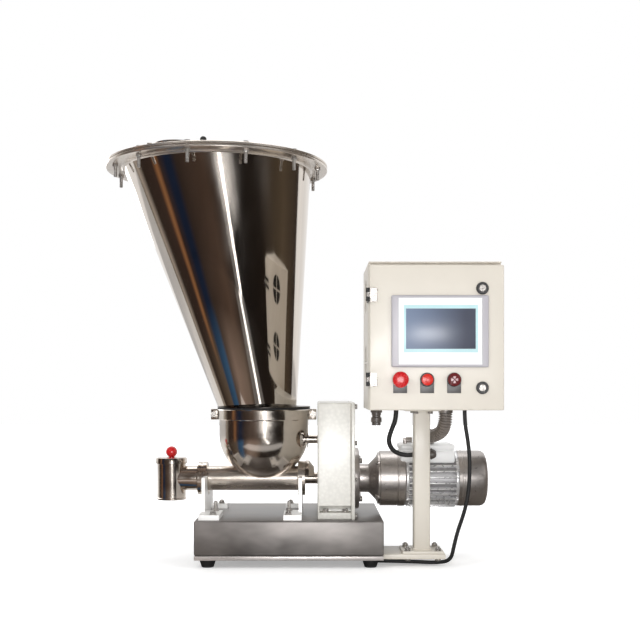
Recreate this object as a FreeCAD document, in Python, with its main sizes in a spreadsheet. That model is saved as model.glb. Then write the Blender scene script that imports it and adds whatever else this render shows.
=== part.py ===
import FreeCAD, Part
import math
import os

import Sketcher

# Loss-in-weight feeder: a weighed platform with a hopper, an agitated bowl, a feed screw and its drive,
# and a control cabinet on a post. Millimetres, +Z up, +Y away from the operator, the origin on the floor
# at the centre of the four feet.

doc = FreeCAD.newDocument("LossInWeightFeeder")
sheet = doc.addObject("Spreadsheet::Sheet", "Sizes")

SIZES = {
    # Platform
    "base_width": 435, "base_depth": 357, "foot_height": 19, "foot_radius": 20, "foot_tip_radius": 14,
    "foot_inset": 29, "tray_height": 10, "tray_wall": 3, "cover_gap": 1, "cover_height": 79,
    "sheet_wall": 2, "cell_length": 150, "cell_width": 50, "cell_height": 40, "cell_pad": 8,
    "cell_pad_length": 40, "cell_bore": 13,
    # Feed barrel and outlet
    "axis_rise": 83, "barrel_radius": 30, "barrel_wall": 3, "joint_x": -215.5, "ferrule_radius": 36,
    "ferrule_width": 3, "clamp_radius": 41, "clamp_width": 24, "flange_x": 18, "flange_width": 18,
    "flange_radius": 42, "spout_x": -293.5, "spout_radius": 35, "spout_wall": 3, "spout_drop": 52,
    "spout_rise": 36, "spout_rim": 5, "cap_radius": 38.5, "cap_height": 15, "cap_lip": 8, "knob_radius": 14,
    # Barrel brackets
    "bracket_wall": 8, "bracket_front_x": -209, "bracket_rear_x": 21, "bracket_half": 95,
    "bracket_rise": 8, "shoe_width": 48, "shoe_height": 11.5, "shoe_front": 160, "shoe_inner": 60,
    # Bowl and its clamp
    "bowl_x": -66, "bowl_radius": 109.5, "bowl_wall": 3, "bowl_centre_rise": 108, "bowl_straight": 62,
    "band_height": 26, "band_wall": 5, "band_reach": 15, "band_lug": 9, "band_gap": 1,
    "gasket_wall": 3.5, "outlet_plate": 3.5, "outlet_plate_radius": 114, "spigot_depth": 22,
    # Hopper and lid
    "hopper_wall": 2, "mouth_radius": 88, "cone_low_x": -82, "cone_low_radius": 97, "cone_height": 577,
    "cone_top_x": -180, "cone_top_radius": 229, "rim_radius": 270, "rim_wall": 7, "lid_wall": 6,
    "lid_bolt_circle": 250, "bolt_shank": 4, "bolt_head": 7.5, "bolt_head_height": 6,
    # Filling neck and its cover
    "neck_x": -275, "neck_y": -40, "neck_radius": 51, "neck_wall": 2, "neck_height": 34,
    "neck_flange_radius": 56, "neck_flange_wall": 6, "cover_wall": 4, "hinge_reach": 64,
    "hinge_pin_radius": 3, "hinge_knuckle": 6, "fill_knob_radius": 8,
    # Shafts and gears
    "shaft_radius": 14, "screw_radius": 25.5, "screw_core": 11, "screw_pitch": 46, "screw_flight": 4,
    "stir_y": -50, "stir_rise": 98, "stir_shaft": 10, "stir_reach": 66, "slinger_radius": 21,
    "gear_module": 2.5, "gear_width": 20, "gear_x": 100, "journal_radius": 12.5, "running_gap": 0.06,
    # Gear housing
    "housing_x": 66, "housing_width": 78, "housing_front": 154, "housing_back": 130,
    "housing_height": 271, "housing_wall": 6, "housing_side": 14, "housing_floor": 39,
    "housing_plate": 8.5, "notch_low": 16, "notch_high": 33, "notch_depth": 28, "screw_bearing": 26,
    "stir_bearing": 21, "bearing_width": 12, "bearing_lip": 2,
    # Drive
    "adapter_radius": 75, "adapter_wall": 15, "drive_neck_radius": 34.5, "drive_neck": 24,
    "drive_cone": 26, "case_radius": 67.5, "case_length": 43, "case_ring": 20, "frame_radius": 63,
    "frame_length": 127, "fin_radius": 71, "fin_wall": 2.6, "frame_bore": 46, "end_shield": 7,
    "rotor_radius": 40, "rotor_shaft": 9, "cowl_radius": 68, "cowl_length": 70, "fan_radius": 56,
    "box_x": 266, "box_length": 132, "box_half": 52, "box_low": 39, "box_height": 47,
    # Post and its foot
    "post_x": 310, "post_y": -112, "post_side": 38, "post_wall": 3, "post_height": 324,
    "post_plate": 6, "post_plate_half": 48, "foot_bar_reach": 144, "foot_bar_wall": 11.5,
    "foot_bar_front": 160, "foot_bar_depth": 124,
    # Cabinet
    "cabinet_x": 320, "cabinet_width": 288, "cabinet_depth": 220, "cabinet_front": -295,
    "cabinet_height": 322, "cabinet_wall": 2, "cabinet_lip": 12, "gutter_height": 8,
    "vent_radius": 38, "vent_web": 5, "vent_low": 105, "vent_pitch": 150,
    "door_x": 322, "door_width": 290, "door_height": 313, "door_depth": 18, "door_gap": 2,
    "door_wall": 2, "leaf_wall": 2.5, "leaf_width": 18, "leaf_height": 29, "leaf_low": 52,
    "leaf_pitch": 182, "hinge_radius": 4,
    "panel_width": 209, "panel_height": 155, "panel_x": 328.5, "panel_rise": 170, "panel_wall": 7,
    "panel_back": 38, "button_rise": 66, "button_pitch": 58, "button_x": 301, "button_hole": 11,
    "collar_radius": 15, "collar_height": 5, "plate_width": 30, "plate_height": 46,
    "lock_x": 420, "lock_low": 48.5, "lock_pitch": 214, "lock_radius": 13.5, "lock_core": 8,
    # Cables
    "motor_cable": 11, "cell_cable": 9, "conduit_size": 28,
}


class Size:
    """A length with its number and with its formula on the sheet."""

    def __init__(self, number, text):
        self.number = float(number)
        self.text = text

    def __add__(self, other):
        return joined(self, "+", other)

    def __radd__(self, other):
        return joined(other, "+", self)

    def __sub__(self, other):
        return joined(self, "-", other)

    def __rsub__(self, other):
        return joined(other, "-", self)

    def __mul__(self, other):
        return joined(self, "*", other)

    def __rmul__(self, other):
        return joined(other, "*", self)

    def __truediv__(self, other):
        return joined(self, "/", other)

    def __neg__(self):
        return joined(0, "-", self)


def size_of(value):
    """The value as a Size; a bare number stands for itself."""
    if isinstance(value, Size):
        return value
    return Size(value, f"({float(value):.6f})")


def joined(left, sign, right):
    """Two lengths joined by one of the four signs."""
    left, right = size_of(left), size_of(right)
    results = {
        "+": left.number + right.number,
        "-": left.number - right.number,
        "*": left.number * right.number,
        "/": left.number / right.number if right.number else 0.0,
    }
    return Size(results[sign], f"({left.text} {sign} {right.text})")


class Sheet:
    """Each size of the sheet by its alias."""


def fill_sheet():
    """Writes the driving sizes into the sheet and hands them out by name."""
    sizes = Sheet()
    for row, (alias, value) in enumerate(SIZES.items(), start=1):
        sheet.set(f"A{row}", alias)
        sheet.set(f"B{row}", str(value))
        sheet.setAlias(f"B{row}", alias)
        setattr(sizes, alias, Size(value, f"Sizes.{alias}"))
    doc.recompute()
    return sizes


s = fill_sheet()
NODES = []
DIRECTIONS = {
    "X": FreeCAD.Rotation(FreeCAD.Vector(0, 1, 0), 90),
    "Y": FreeCAD.Rotation(FreeCAD.Vector(1, 0, 0), -90),
    "Z": FreeCAD.Rotation(),
}


def place(obj, x, y, z, rotation=None):
    """Puts an object at a point of the sheet's lengths, turned as given."""
    if rotation is not None:
        obj.Placement = FreeCAD.Placement(FreeCAD.Vector(), rotation)
    for letter, value in (("x", x), ("y", y), ("z", z)):
        obj.setExpression(f".Placement.Base.{letter}", size_of(value).text)
    return obj


def block(name, x, y, z):
    """A box between two ends along each axis."""
    box = doc.addObject("Part::Box", name)
    for side, ends in (("Length", x), ("Width", y), ("Height", z)):
        box.setExpression(side, size_of(size_of(ends[1]) - ends[0]).text)
    return place(box, x[0], y[0], z[0])


def rod(name, axis, radius, ends, centre):
    """A cylinder along an axis, between two ends, about a centre given on the other two axes."""
    cylinder = doc.addObject("Part::Cylinder", name)
    cylinder.setExpression("Radius", size_of(radius).text)
    cylinder.setExpression("Height", (size_of(ends[1]) - ends[0]).text)
    return place(cylinder, *start_point(axis, ends[0], centre), DIRECTIONS[axis])


def hexagon(name, axis, radius, ends, centre):
    """A hexagonal head or nut along an axis; radius is to its corners."""
    prism = doc.addObject("Part::Prism", name)
    prism.Polygon = 6
    prism.setExpression("Circumradius", size_of(radius).text)
    prism.setExpression("Height", (size_of(ends[1]) - ends[0]).text)
    return place(prism, *start_point(axis, ends[0], centre), DIRECTIONS[axis])


def ball(name, radius, centre):
    """A sphere about a centre."""
    sphere = doc.addObject("Part::Sphere", name)
    sphere.setExpression("Radius", size_of(radius).text)
    return place(sphere, *centre)


def start_point(axis, start, centre):
    """The first end of a rod along an axis, as x, y and z."""
    a, b = centre
    return {"X": (start, a, b), "Y": (a, start, b), "Z": (a, b, start)}[axis]


def fuse(name, *parts):
    """One solid from parts that touch or overlap."""
    whole = doc.addObject("Part::MultiFuse", name)
    whole.Shapes = list(parts)
    return whole


def cut(name, base, *tools):
    """The base less every tool."""
    result = doc.addObject("Part::Cut", name)
    result.Base = base
    result.Tool = tools[0] if len(tools) == 1 else group(name + "_tools", *tools, joined_up=True)
    return result


def group(name, *parts, joined_up=False):
    """Separate solids kept in one object, or fused into one tool."""
    if joined_up:
        return fuse(name, *parts)
    compound = doc.addObject("Part::Compound", name)
    compound.Links = list(parts)
    return compound


def rounded(name, base, radius, wanted):
    """The base with the edges that wanted() picks rounded."""
    doc.recompute()
    fillet = doc.addObject("Part::Fillet", name)
    fillet.Base = base
    amount = size_of(radius).number
    edges = enumerate(base.Shape.Edges, start=1)
    fillet.Edges = [(index, amount, amount) for index, edge in edges if wanted(edge)]
    return fillet


def along(axis):
    """A test for straight edges that run along an axis."""
    index = "XYZ".index(axis)

    def test(edge):
        start, end = edge.Vertexes[0].Point, edge.Vertexes[-1].Point
        return all(abs(start[i] - end[i]) < 1e-6 for i in range(3) if i != index)

    return test


def plane_of(body, role):
    """One of a body's own origin planes."""
    return next(item for item in body.Origin.OriginFeatures if item.Role == role)


def drawn(body, name, role, corners):
    """A sketch on a body's plane: a closed outline with every corner tied to the sheet."""
    sketch = body.newObject("Sketcher::SketchObject", name)
    sketch.AttachmentSupport = (plane_of(body, role), [""])
    sketch.MapMode = "FlatFace"
    corners = [(size_of(a), size_of(b)) for a, b in corners]
    points = [FreeCAD.Vector(a.number, b.number, 0) for a, b in corners]
    count = len(points)
    for i in range(count):
        sketch.addGeometry(Part.LineSegment(points[i], points[(i + 1) % count]), False)
    for i in range(count):
        sketch.addConstraint(Sketcher.Constraint("Coincident", i, 2, (i + 1) % count, 1))
    for i, (a, b) in enumerate(corners):
        for kind, value in (("DistanceX", a), ("DistanceY", b)):
            index = sketch.addConstraint(Sketcher.Constraint(kind, -1, 1, i, 1, value.number))
            sketch.setExpression(f"Constraints[{index}]", value.text)
    return sketch


def turned(name, axis, outline, at):
    """A body turned from an outline of (radius, height) corners, standing on a point along an axis."""
    body = doc.addObject("PartDesign::Body", name)
    sketch = drawn(body, name + "_outline", "XZ_Plane", outline)
    turn = body.newObject("PartDesign::Revolution", name + "_turn")
    turn.Profile = sketch
    turn.ReferenceAxis = (sketch, ["V_Axis"])
    turn.Angle = 360
    return place(body, *at, DIRECTIONS[axis])


def ring(name, axis, outer, inner, ends, centre):
    """A plain ring: a rod less its bore."""
    return cut(name, rod(name + "_outer", axis, outer, ends, centre),
               rod(name + "_bore", axis, inner, (ends[0] - size_of(1), ends[1] + size_of(1)), centre))


def node(obj, name):
    """Marks an object as a finished sub-part under its own name."""
    obj.Label = name
    NODES.append(obj)
    return obj


# Levels and places that several pieces share
tray_top = s.foot_height + s.tray_height
base_top = tray_top + s.cover_gap + s.cover_height
axis_z = base_top + s.axis_rise
stir_z = axis_z + s.stir_rise
bowl_z = axis_z + s.bowl_centre_rise
bowl_top = bowl_z + s.bowl_straight
plate_low = bowl_top + s.gasket_wall
plate_top = plate_low + s.outlet_plate
rim_low = plate_top + s.cone_height
lid_low = rim_low + s.rim_wall
lid_top = lid_low + s.lid_wall
neck_top = lid_top + s.neck_height + s.neck_flange_wall
plate_x = s.housing_x + s.housing_width
adapter_x = plate_x + s.housing_plate
neck_end = adapter_x + s.adapter_wall + s.drive_neck
case_x = neck_end + s.drive_cone
frame_x = case_x + s.case_length + s.case_ring
cowl_x = frame_x + s.frame_length
foot_bar_top = s.foot_height + s.foot_bar_wall
post_low = foot_bar_top + s.post_plate
post_top = post_low + s.post_height
cabinet_low = post_top + s.post_plate
cabinet_left = s.cabinet_x - s.cabinet_width / 2
cabinet_back = s.cabinet_front + s.cabinet_depth
door_back = s.cabinet_front - s.door_gap
door_front = door_back - s.door_depth
door_left = s.door_x - s.door_width / 2
AXIS = (0, axis_z)
STIR = (s.stir_y, stir_z)


# Weighed platform

def platform():
    """The tray, the box cover over it, the load cell between them and the rubber feet."""
    half_x, half_y = s.base_width / 2, s.base_depth / 2
    tray = block("tray", (-half_x, half_x), (-half_y, half_y), (s.foot_height, tray_top))
    under = block("tray_under", (-half_x + s.tray_wall, half_x - s.tray_wall),
                  (-half_y + s.tray_wall, half_y - s.tray_wall),
                  (s.foot_height - s.tray_wall, tray_top - s.tray_wall))
    pads = [rod(f"foot_pad_{i}", "Z", s.foot_radius, (s.foot_height, tray_top - s.tray_wall / 2), spot)
            for i, spot in enumerate(foot_spots())]
    entry = rod("cable_entry", "Z", s.cell_cable / 2 + 3.2, (s.foot_height, tray_top + 1), CELL_ENTRY)
    node(cut("base_frame", fuse("tray_with_pads", cut("tray_shell", tray, under), *pads), entry),
         "base_frame")

    low = tray_top + s.cover_gap
    outer = rounded("cover_outer", block("cover_block", (-half_x, half_x), (-half_y, half_y),
                                         (low, base_top)), 3,
                    lambda edge: along("Z")(edge) or edge.BoundBox.ZMin > base_top.number - 0.1)
    inner = block("cover_inner", (-half_x + s.sheet_wall, half_x - s.sheet_wall),
                  (-half_y + s.sheet_wall, half_y - s.sheet_wall), (low - 1, base_top - s.sheet_wall))
    node(cut("platform_cover", outer, inner), "platform_cover")

    cell_low = tray_top + s.cell_pad
    cell_high = cell_low + s.cell_height
    reach, wide = s.cell_length / 2, s.cell_width / 2
    middle = (cell_low + cell_high) / 2
    bar = block("cell_bar", (-reach, reach), (-wide, wide), (cell_low, cell_high))
    bores = [rod(f"cell_bore_{i}", "Y", s.cell_bore, (-wide - 1, wide + 1), (side * s.cell_bore, middle))
             for i, side in enumerate((-1.2, 1.2))]
    cell = cut("cell_body", bar, *bores)
    low_pad = block("cell_low_pad", (-reach, s.cell_pad_length - reach), (-wide, wide),
                    (tray_top, cell_low))
    high_pad = block("cell_high_pad", (reach - s.cell_pad_length, reach), (-wide, wide),
                     (cell_high, base_top - s.sheet_wall))
    node(group("load_cell", cell, low_pad, high_pad), "load_cell")

    feet = [turned(f"foot_{i}", "Z",
                   [(3, 0), (s.foot_tip_radius, 0), (s.foot_radius, s.foot_height), (0, s.foot_height),
                    (0, 8), (3, 8)], (x, y, 0))
            for i, (x, y) in enumerate(foot_spots())]
    node(group("rubber_feet", *feet), "rubber_feet")


def foot_spots():
    """The centres of the four feet."""
    x, y = s.base_width / 2 - s.foot_inset, s.base_depth / 2 - s.foot_inset
    return [(-x, -y), (x, -y), (x, y), (-x, y)]


CELL_ENTRY = (s.base_width / 2 - 43, -s.base_depth / 2 + 75)


# Barrel, outlet and brackets

def barrel():
    """The feed barrel with its trough opening, rear flange and front ferrule."""
    inside = s.barrel_radius - s.barrel_wall
    tube = ring("barrel_tube", "X", s.barrel_radius, inside, (s.joint_x, s.flange_x + 1), AXIS)
    ferrule = ring("barrel_ferrule", "X", s.ferrule_radius, inside,
                   (s.joint_x, s.joint_x + s.ferrule_width), AXIS)
    flange = cut("barrel_flange", ring("barrel_flange_disc", "X", s.flange_radius,
                                       s.shaft_radius + s.running_gap,
                                       (s.flange_x, s.flange_x + s.flange_width), AXIS),
                 ball("barrel_flange_trim", s.bowl_radius, (s.bowl_x, 0, bowl_z)))
    trough = ball("barrel_trough", s.bowl_radius - s.bowl_wall, (s.bowl_x, 0, bowl_z))
    node(cut("screw_barrel", fuse("barrel_whole", tube, ferrule, flange), trough), "screw_barrel")


def outlet():
    """The outlet spout with its stub, the clamp that holds it, and the lift-off cap with its ball."""
    inside = s.barrel_radius - s.barrel_wall
    centre = (s.spout_x, 0)
    low, high = axis_z - s.spout_drop, axis_z + s.spout_rise
    body = rod("spout_body", "Z", s.spout_radius, (low, high), centre)
    rim = rod("spout_rim_band", "Z", s.spout_radius + 1.5, (low, low + s.spout_rim), centre)
    stub = rod("spout_stub", "X", s.barrel_radius, (s.spout_x, s.joint_x), AXIS)
    ferrule = rod("spout_ferrule", "X", s.ferrule_radius, (s.joint_x - s.ferrule_width, s.joint_x), AXIS)
    drop = rod("spout_bore", "Z", s.spout_radius - s.spout_wall, (low - 1, high + 1), centre)
    feed = rod("spout_feed", "X", inside, (s.spout_x, s.joint_x + 1), AXIS)
    node(cut("outlet_spout", fuse("spout_whole", body, rim, stub, ferrule), drop, feed), "outlet_spout")

    half = s.clamp_width / 2
    seat, lock = s.barrel_radius, s.ferrule_radius
    collar = turned("clamp_collar", "X",
                    [(seat, -half), (s.clamp_radius, 2 - half), (s.clamp_radius, half - 2), (seat, half),
                     (seat, s.ferrule_width), (lock, s.ferrule_width), (lock, -s.ferrule_width),
                     (seat, -s.ferrule_width)], (s.joint_x, 0, axis_z))
    lug = block("clamp_lug", (s.joint_x - half / 2, s.joint_x + half / 2),
                (s.clamp_radius - 2, s.clamp_radius + 14), (axis_z - 9, axis_z + 9))
    bolt = rod("clamp_screw", "Z", 3, (axis_z - 16, axis_z + 16), (s.joint_x, s.clamp_radius + 7))
    node(fuse("spout_clamp", collar, lug, bolt), "spout_clamp")

    lip = s.spout_radius - s.spout_wall - 0.5
    cap = turned("spout_cap", "Z",
                 [(0, 0), (lip - 2, 0), (lip - 2, -s.cap_lip), (lip, -s.cap_lip), (lip, 0), (s.cap_radius, 0),
                  (s.cap_radius, s.cap_height - 2), (s.cap_radius - 2, s.cap_height), (0, s.cap_height)],
                 (s.spout_x, 0, high))
    node(cap, "spout_cap")
    cap_top = high + s.cap_height
    knob = fuse("cap_ball_boss", ball("cap_ball", s.knob_radius,
                                      (s.spout_x, 0, cap_top + s.knob_radius - 0.5)),
                rod("cap_boss", "Z", 5, (cap_top, cap_top + 6), centre))
    flat = block("cap_ball_foot", (s.spout_x - 20, s.spout_x + 20), (-20, 20), (cap_top - 5, cap_top))
    node(cut("cap_knob", knob, flat), "cap_knob")


def bracket(name, x, saddle, shoe):
    """An upright plate with a saddle for the barrel, a front shoe and a rear shoe bolted to the cover."""
    half, top = s.bracket_half, axis_z + s.bracket_rise
    plate = block(name + "_plate", (x, x + s.bracket_wall), (-half, half), (base_top, top))
    front = block(name + "_front_shoe", shoe, (-s.shoe_front, -s.shoe_inner),
                  (base_top, base_top + s.shoe_height))
    rear = block(name + "_rear_shoe", shoe, (s.shoe_inner, half), (base_top, base_top + s.shoe_height))
    hollow = rod(name + "_saddle", "X", saddle, (x - 1, x + s.bracket_wall + 1), AXIS)
    mouth = block(name + "_mouth", (x - 1, x + s.bracket_wall + 1), (-saddle, saddle), (axis_z, top + 1))
    node(cut(name, fuse(name + "_whole", plate, front, rear), hollow, mouth), name)


def brackets():
    """The two brackets that carry the barrel by its clamp and by its rear flange."""
    front, rear = s.bracket_front_x, s.bracket_rear_x
    bracket("barrel_bracket_front", front, s.clamp_radius, (front, front + s.shoe_width))
    right = rear + s.bracket_wall
    bracket("barrel_bracket_rear", rear, s.flange_radius, (right - s.shoe_width + 6, right))


def half_ball(name, radius, centre):
    """The lower half of a sphere about a centre."""
    half = ball(name, radius, centre)
    half.Angle2 = 0
    return half


def stud(name, spot, seat, height):
    """A stud with its nut, standing on a seat."""
    x, y = spot
    return fuse(name, rod(name + "_rod", "Z", s.bolt_shank, (seat, seat + height), spot),
                hexagon(name + "_nut", "Z", s.bolt_head, (seat, seat + s.bolt_head_height), (x, y)))


def frame_bolts():
    """Studs of the brackets, bolts of the post's foot and of its head plate."""
    shoe_top = base_top + s.shoe_height
    front_x = s.bracket_front_x + s.shoe_width - 16
    rear_x = s.bracket_rear_x + s.bracket_wall - s.shoe_width + 17
    studs = []
    for i, x in enumerate((front_x, rear_x)):
        for j, y in enumerate((-s.shoe_inner - 14, -s.shoe_front + 16, s.shoe_inner + 18)):
            height = s.bolt_head_height + (18 if j == 0 else 3)
            studs.append(stud(f"bracket_stud_{i}_{j}", (x, y), shoe_top, height))
    reach = s.post_plate_half - 13
    corners = [(a, b) for a in (-1, 1) for b in (-1, 1)]
    for i, (a, b) in enumerate(corners):
        spot = (s.post_x + a * reach, s.post_y + b * (reach - 2))
        studs.append(stud(f"foot_stud_{i}", spot, post_low, s.bolt_head_height + 4))
        studs.append(hexagon(f"foot_nut_{i}", "Z", s.bolt_head,
                             (s.foot_height - s.bolt_head_height, s.foot_height), spot))
        studs.append(hexagon(f"head_nut_{i}", "Z", 7, (post_top - s.bolt_head_height, post_top),
                             (s.post_x + a * 17, s.post_y + (27.5 if b > 0 else -34))))
    node(group("frame_bolts", *studs), "frame_bolts")


# Agitator bowl with its clamp band

def bowl():
    """A straight shell on a half sphere, open to the barrel, with the boss of the agitator shaft."""
    inner = s.bowl_radius - s.bowl_wall
    centre = (s.bowl_x, 0)
    outside = fuse("bowl_outside", rod("bowl_wall_outer", "Z", s.bowl_radius, (bowl_z, bowl_top), centre),
                   half_ball("bowl_round_outer", s.bowl_radius, (s.bowl_x, 0, bowl_z)),
                   rod("bowl_boss", "X", s.stir_shaft + 7, (s.bowl_x + 70, boss_end()), STIR))
    inside = fuse("bowl_inside", rod("bowl_wall_inner", "Z", inner, (bowl_z, bowl_top + 1), centre),
                  half_ball("bowl_round_inner", inner, (s.bowl_x, 0, bowl_z)))
    shaft = rod("bowl_shaft_hole", "X", s.stir_shaft + s.running_gap, (s.bowl_x, boss_end() + 1), STIR)
    tunnel = rod("bowl_tunnel", "X", s.barrel_radius, (s.bowl_x - s.bowl_radius, s.bowl_x + s.bowl_radius),
                 AXIS)
    node(cut("agitator_bowl", outside, inside, shaft, tunnel), "agitator_bowl")


def boss_end():
    """The outer face of the shaft boss on the bowl."""
    return s.bowl_x + s.bowl_radius - 8


def bowl_clamp():
    """Two half bands round the bowl's top, joined by a bolt through the lugs at each side."""
    inner, outer = s.bowl_radius, s.bowl_radius + s.band_wall
    low = bowl_top - s.band_height
    reach = outer + s.band_reach
    bolts = []
    for name, side in (("bowl_clamp_front", -1), ("bowl_clamp_rear", 1)):
        near, far = s.band_gap * side, outer * side * 1.1
        shell = ring(name + "_band", "Z", outer, inner, (low, bowl_top), (s.bowl_x, 0))
        half = block(name + "_half", (s.bowl_x - outer - 1, s.bowl_x + outer + 1),
                     (near, far) if side > 0 else (far, near), (low - 1, bowl_top + 1))
        band = doc.addObject("Part::Common", name + "_arc")
        band.Base, band.Tool = shell, half
        lug_y = (near, (s.band_gap + s.band_lug) * side)
        ears = [block(f"{name}_ear_{i}", ends, lug_y if side > 0 else lug_y[::-1], (low, bowl_top))
                for i, ends in enumerate(((s.bowl_x - reach, s.bowl_x - inner - 1),
                                          (s.bowl_x + inner + 1, s.bowl_x + reach)))]
        whole = fuse(name + "_whole", band, *ears)
        holes = [rod(f"{name}_hole_{i}", "Y", s.bolt_shank, (-20, 20), (x, bowl_top - s.band_height / 2))
                 for i, x in enumerate((s.bowl_x - reach + 7, s.bowl_x + reach - 7))]
        node(cut(name, whole, *holes), name)
    edge = s.band_gap + s.band_lug
    for i, x in enumerate((s.bowl_x - reach + 7, s.bowl_x + reach - 7)):
        spot = (x, bowl_top - s.band_height / 2)
        bolts.append(fuse(f"band_bolt_{i}", rod(f"band_bolt_{i}_rod", "Y", s.bolt_shank,
                                                (-edge - s.bolt_head_height, edge + 8), spot),
                          hexagon(f"band_bolt_{i}_head", "Y", s.bolt_head,
                                  (-edge - s.bolt_head_height, -edge), spot),
                          hexagon(f"band_bolt_{i}_nut", "Y", s.bolt_head, (edge, edge + 6), spot)))
    node(group("clamp_bolts", *bolts), "clamp_bolts")


# Hopper, lid and filling neck

def oblique(name, wall):
    """The hopper's leaning cone: its two rings have different centres. wall is taken off the radius."""
    body = doc.addObject("PartDesign::Body", name)
    rings = []
    levels = ((s.cone_low_x, s.cone_low_radius, plate_top), (s.cone_top_x, s.cone_top_radius, rim_low))
    for i, (x, radius, z) in enumerate(levels):
        sketch = body.newObject("Sketcher::SketchObject", f"{name}_ring_{i}")
        sketch.AttachmentSupport = (plane_of(body, "XY_Plane"), [""])
        sketch.MapMode = "FlatFace"
        sketch.setExpression(".AttachmentOffset.Base.z", z.text)
        radius = radius - wall
        sketch.addGeometry(Part.Circle(FreeCAD.Vector(x.number, 0, 0), FreeCAD.Vector(0, 0, 1),
                                       radius.number), False)
        for kind, value in (("DistanceX", x), ("Radius", radius)):
            if kind == "Radius":
                index = sketch.addConstraint(Sketcher.Constraint(kind, 0, value.number))
            else:
                index = sketch.addConstraint(Sketcher.Constraint(kind, -1, 1, 0, 3, value.number))
            sketch.setExpression(f"Constraints[{index}]", value.text)
        sketch.addConstraint(Sketcher.Constraint("PointOnObject", 0, 3, -1))
        rings.append(sketch)
    loft = body.newObject("PartDesign::AdditiveLoft", name + "_loft")
    loft.Profile = rings[0]
    loft.Sections = [rings[1]]
    loft.Ruled = True
    return place(body, 0, 0, 0)


def hopper():
    """The leaning cone with its top rim, its outlet plate and the spigot that enters the bowl."""
    outer, inner = oblique("cone_outer", size_of(0)), oblique("cone_inner", s.hopper_wall)
    shell = cut("cone_shell", outer, inner)
    rim = cut("hopper_rim", rod("rim_disc", "Z", s.rim_radius, (rim_low, lid_low), (s.cone_top_x, 0)),
              rod("rim_hole", "Z", s.cone_top_radius - s.hopper_wall, (rim_low - 1, lid_low + 1),
                  (s.cone_top_x, 0)))
    plate = rod("outlet_plate_disc", "Z", s.outlet_plate_radius, (plate_low, plate_top), (s.bowl_x, 0))
    mouth = rod("outlet_mouth", "Z", s.mouth_radius, (plate_low - 1, plate_top + 1), (s.cone_low_x, 0))
    fit = s.bowl_radius - s.bowl_wall - 0.3
    spigot = ring("spigot", "Z", fit, fit - s.hopper_wall, (bowl_top - s.spigot_depth, plate_low),
                  (s.bowl_x, 0))
    holes = [rod(f"rim_bolt_hole_{i}", "Z", s.bolt_shank, (rim_low - 1, lid_low + 1), spot)
             for i, spot in enumerate(lid_bolt_spots())]
    node(fuse("hopper_cone", shell, cut("hopper_rim_drilled", rim, *holes),
              cut("outlet_ring", plate, mouth), spigot), "hopper_cone")
    node(ring("hopper_gasket", "Z", s.outlet_plate_radius, s.bowl_radius - s.bowl_wall,
              (bowl_top, plate_low), (s.bowl_x, 0)), "hopper_gasket")


def lid_bolt_spots():
    """Twelve places on the lid's bolt circle, the first a little left of the front."""
    first, count = -100, 12
    spots = []
    for i in range(count):
        turn = math.radians(first + i * 360 / count)
        spots.append((s.cone_top_x + s.lid_bolt_circle * math.cos(turn),
                      s.lid_bolt_circle * math.sin(turn)))
    return spots


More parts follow.
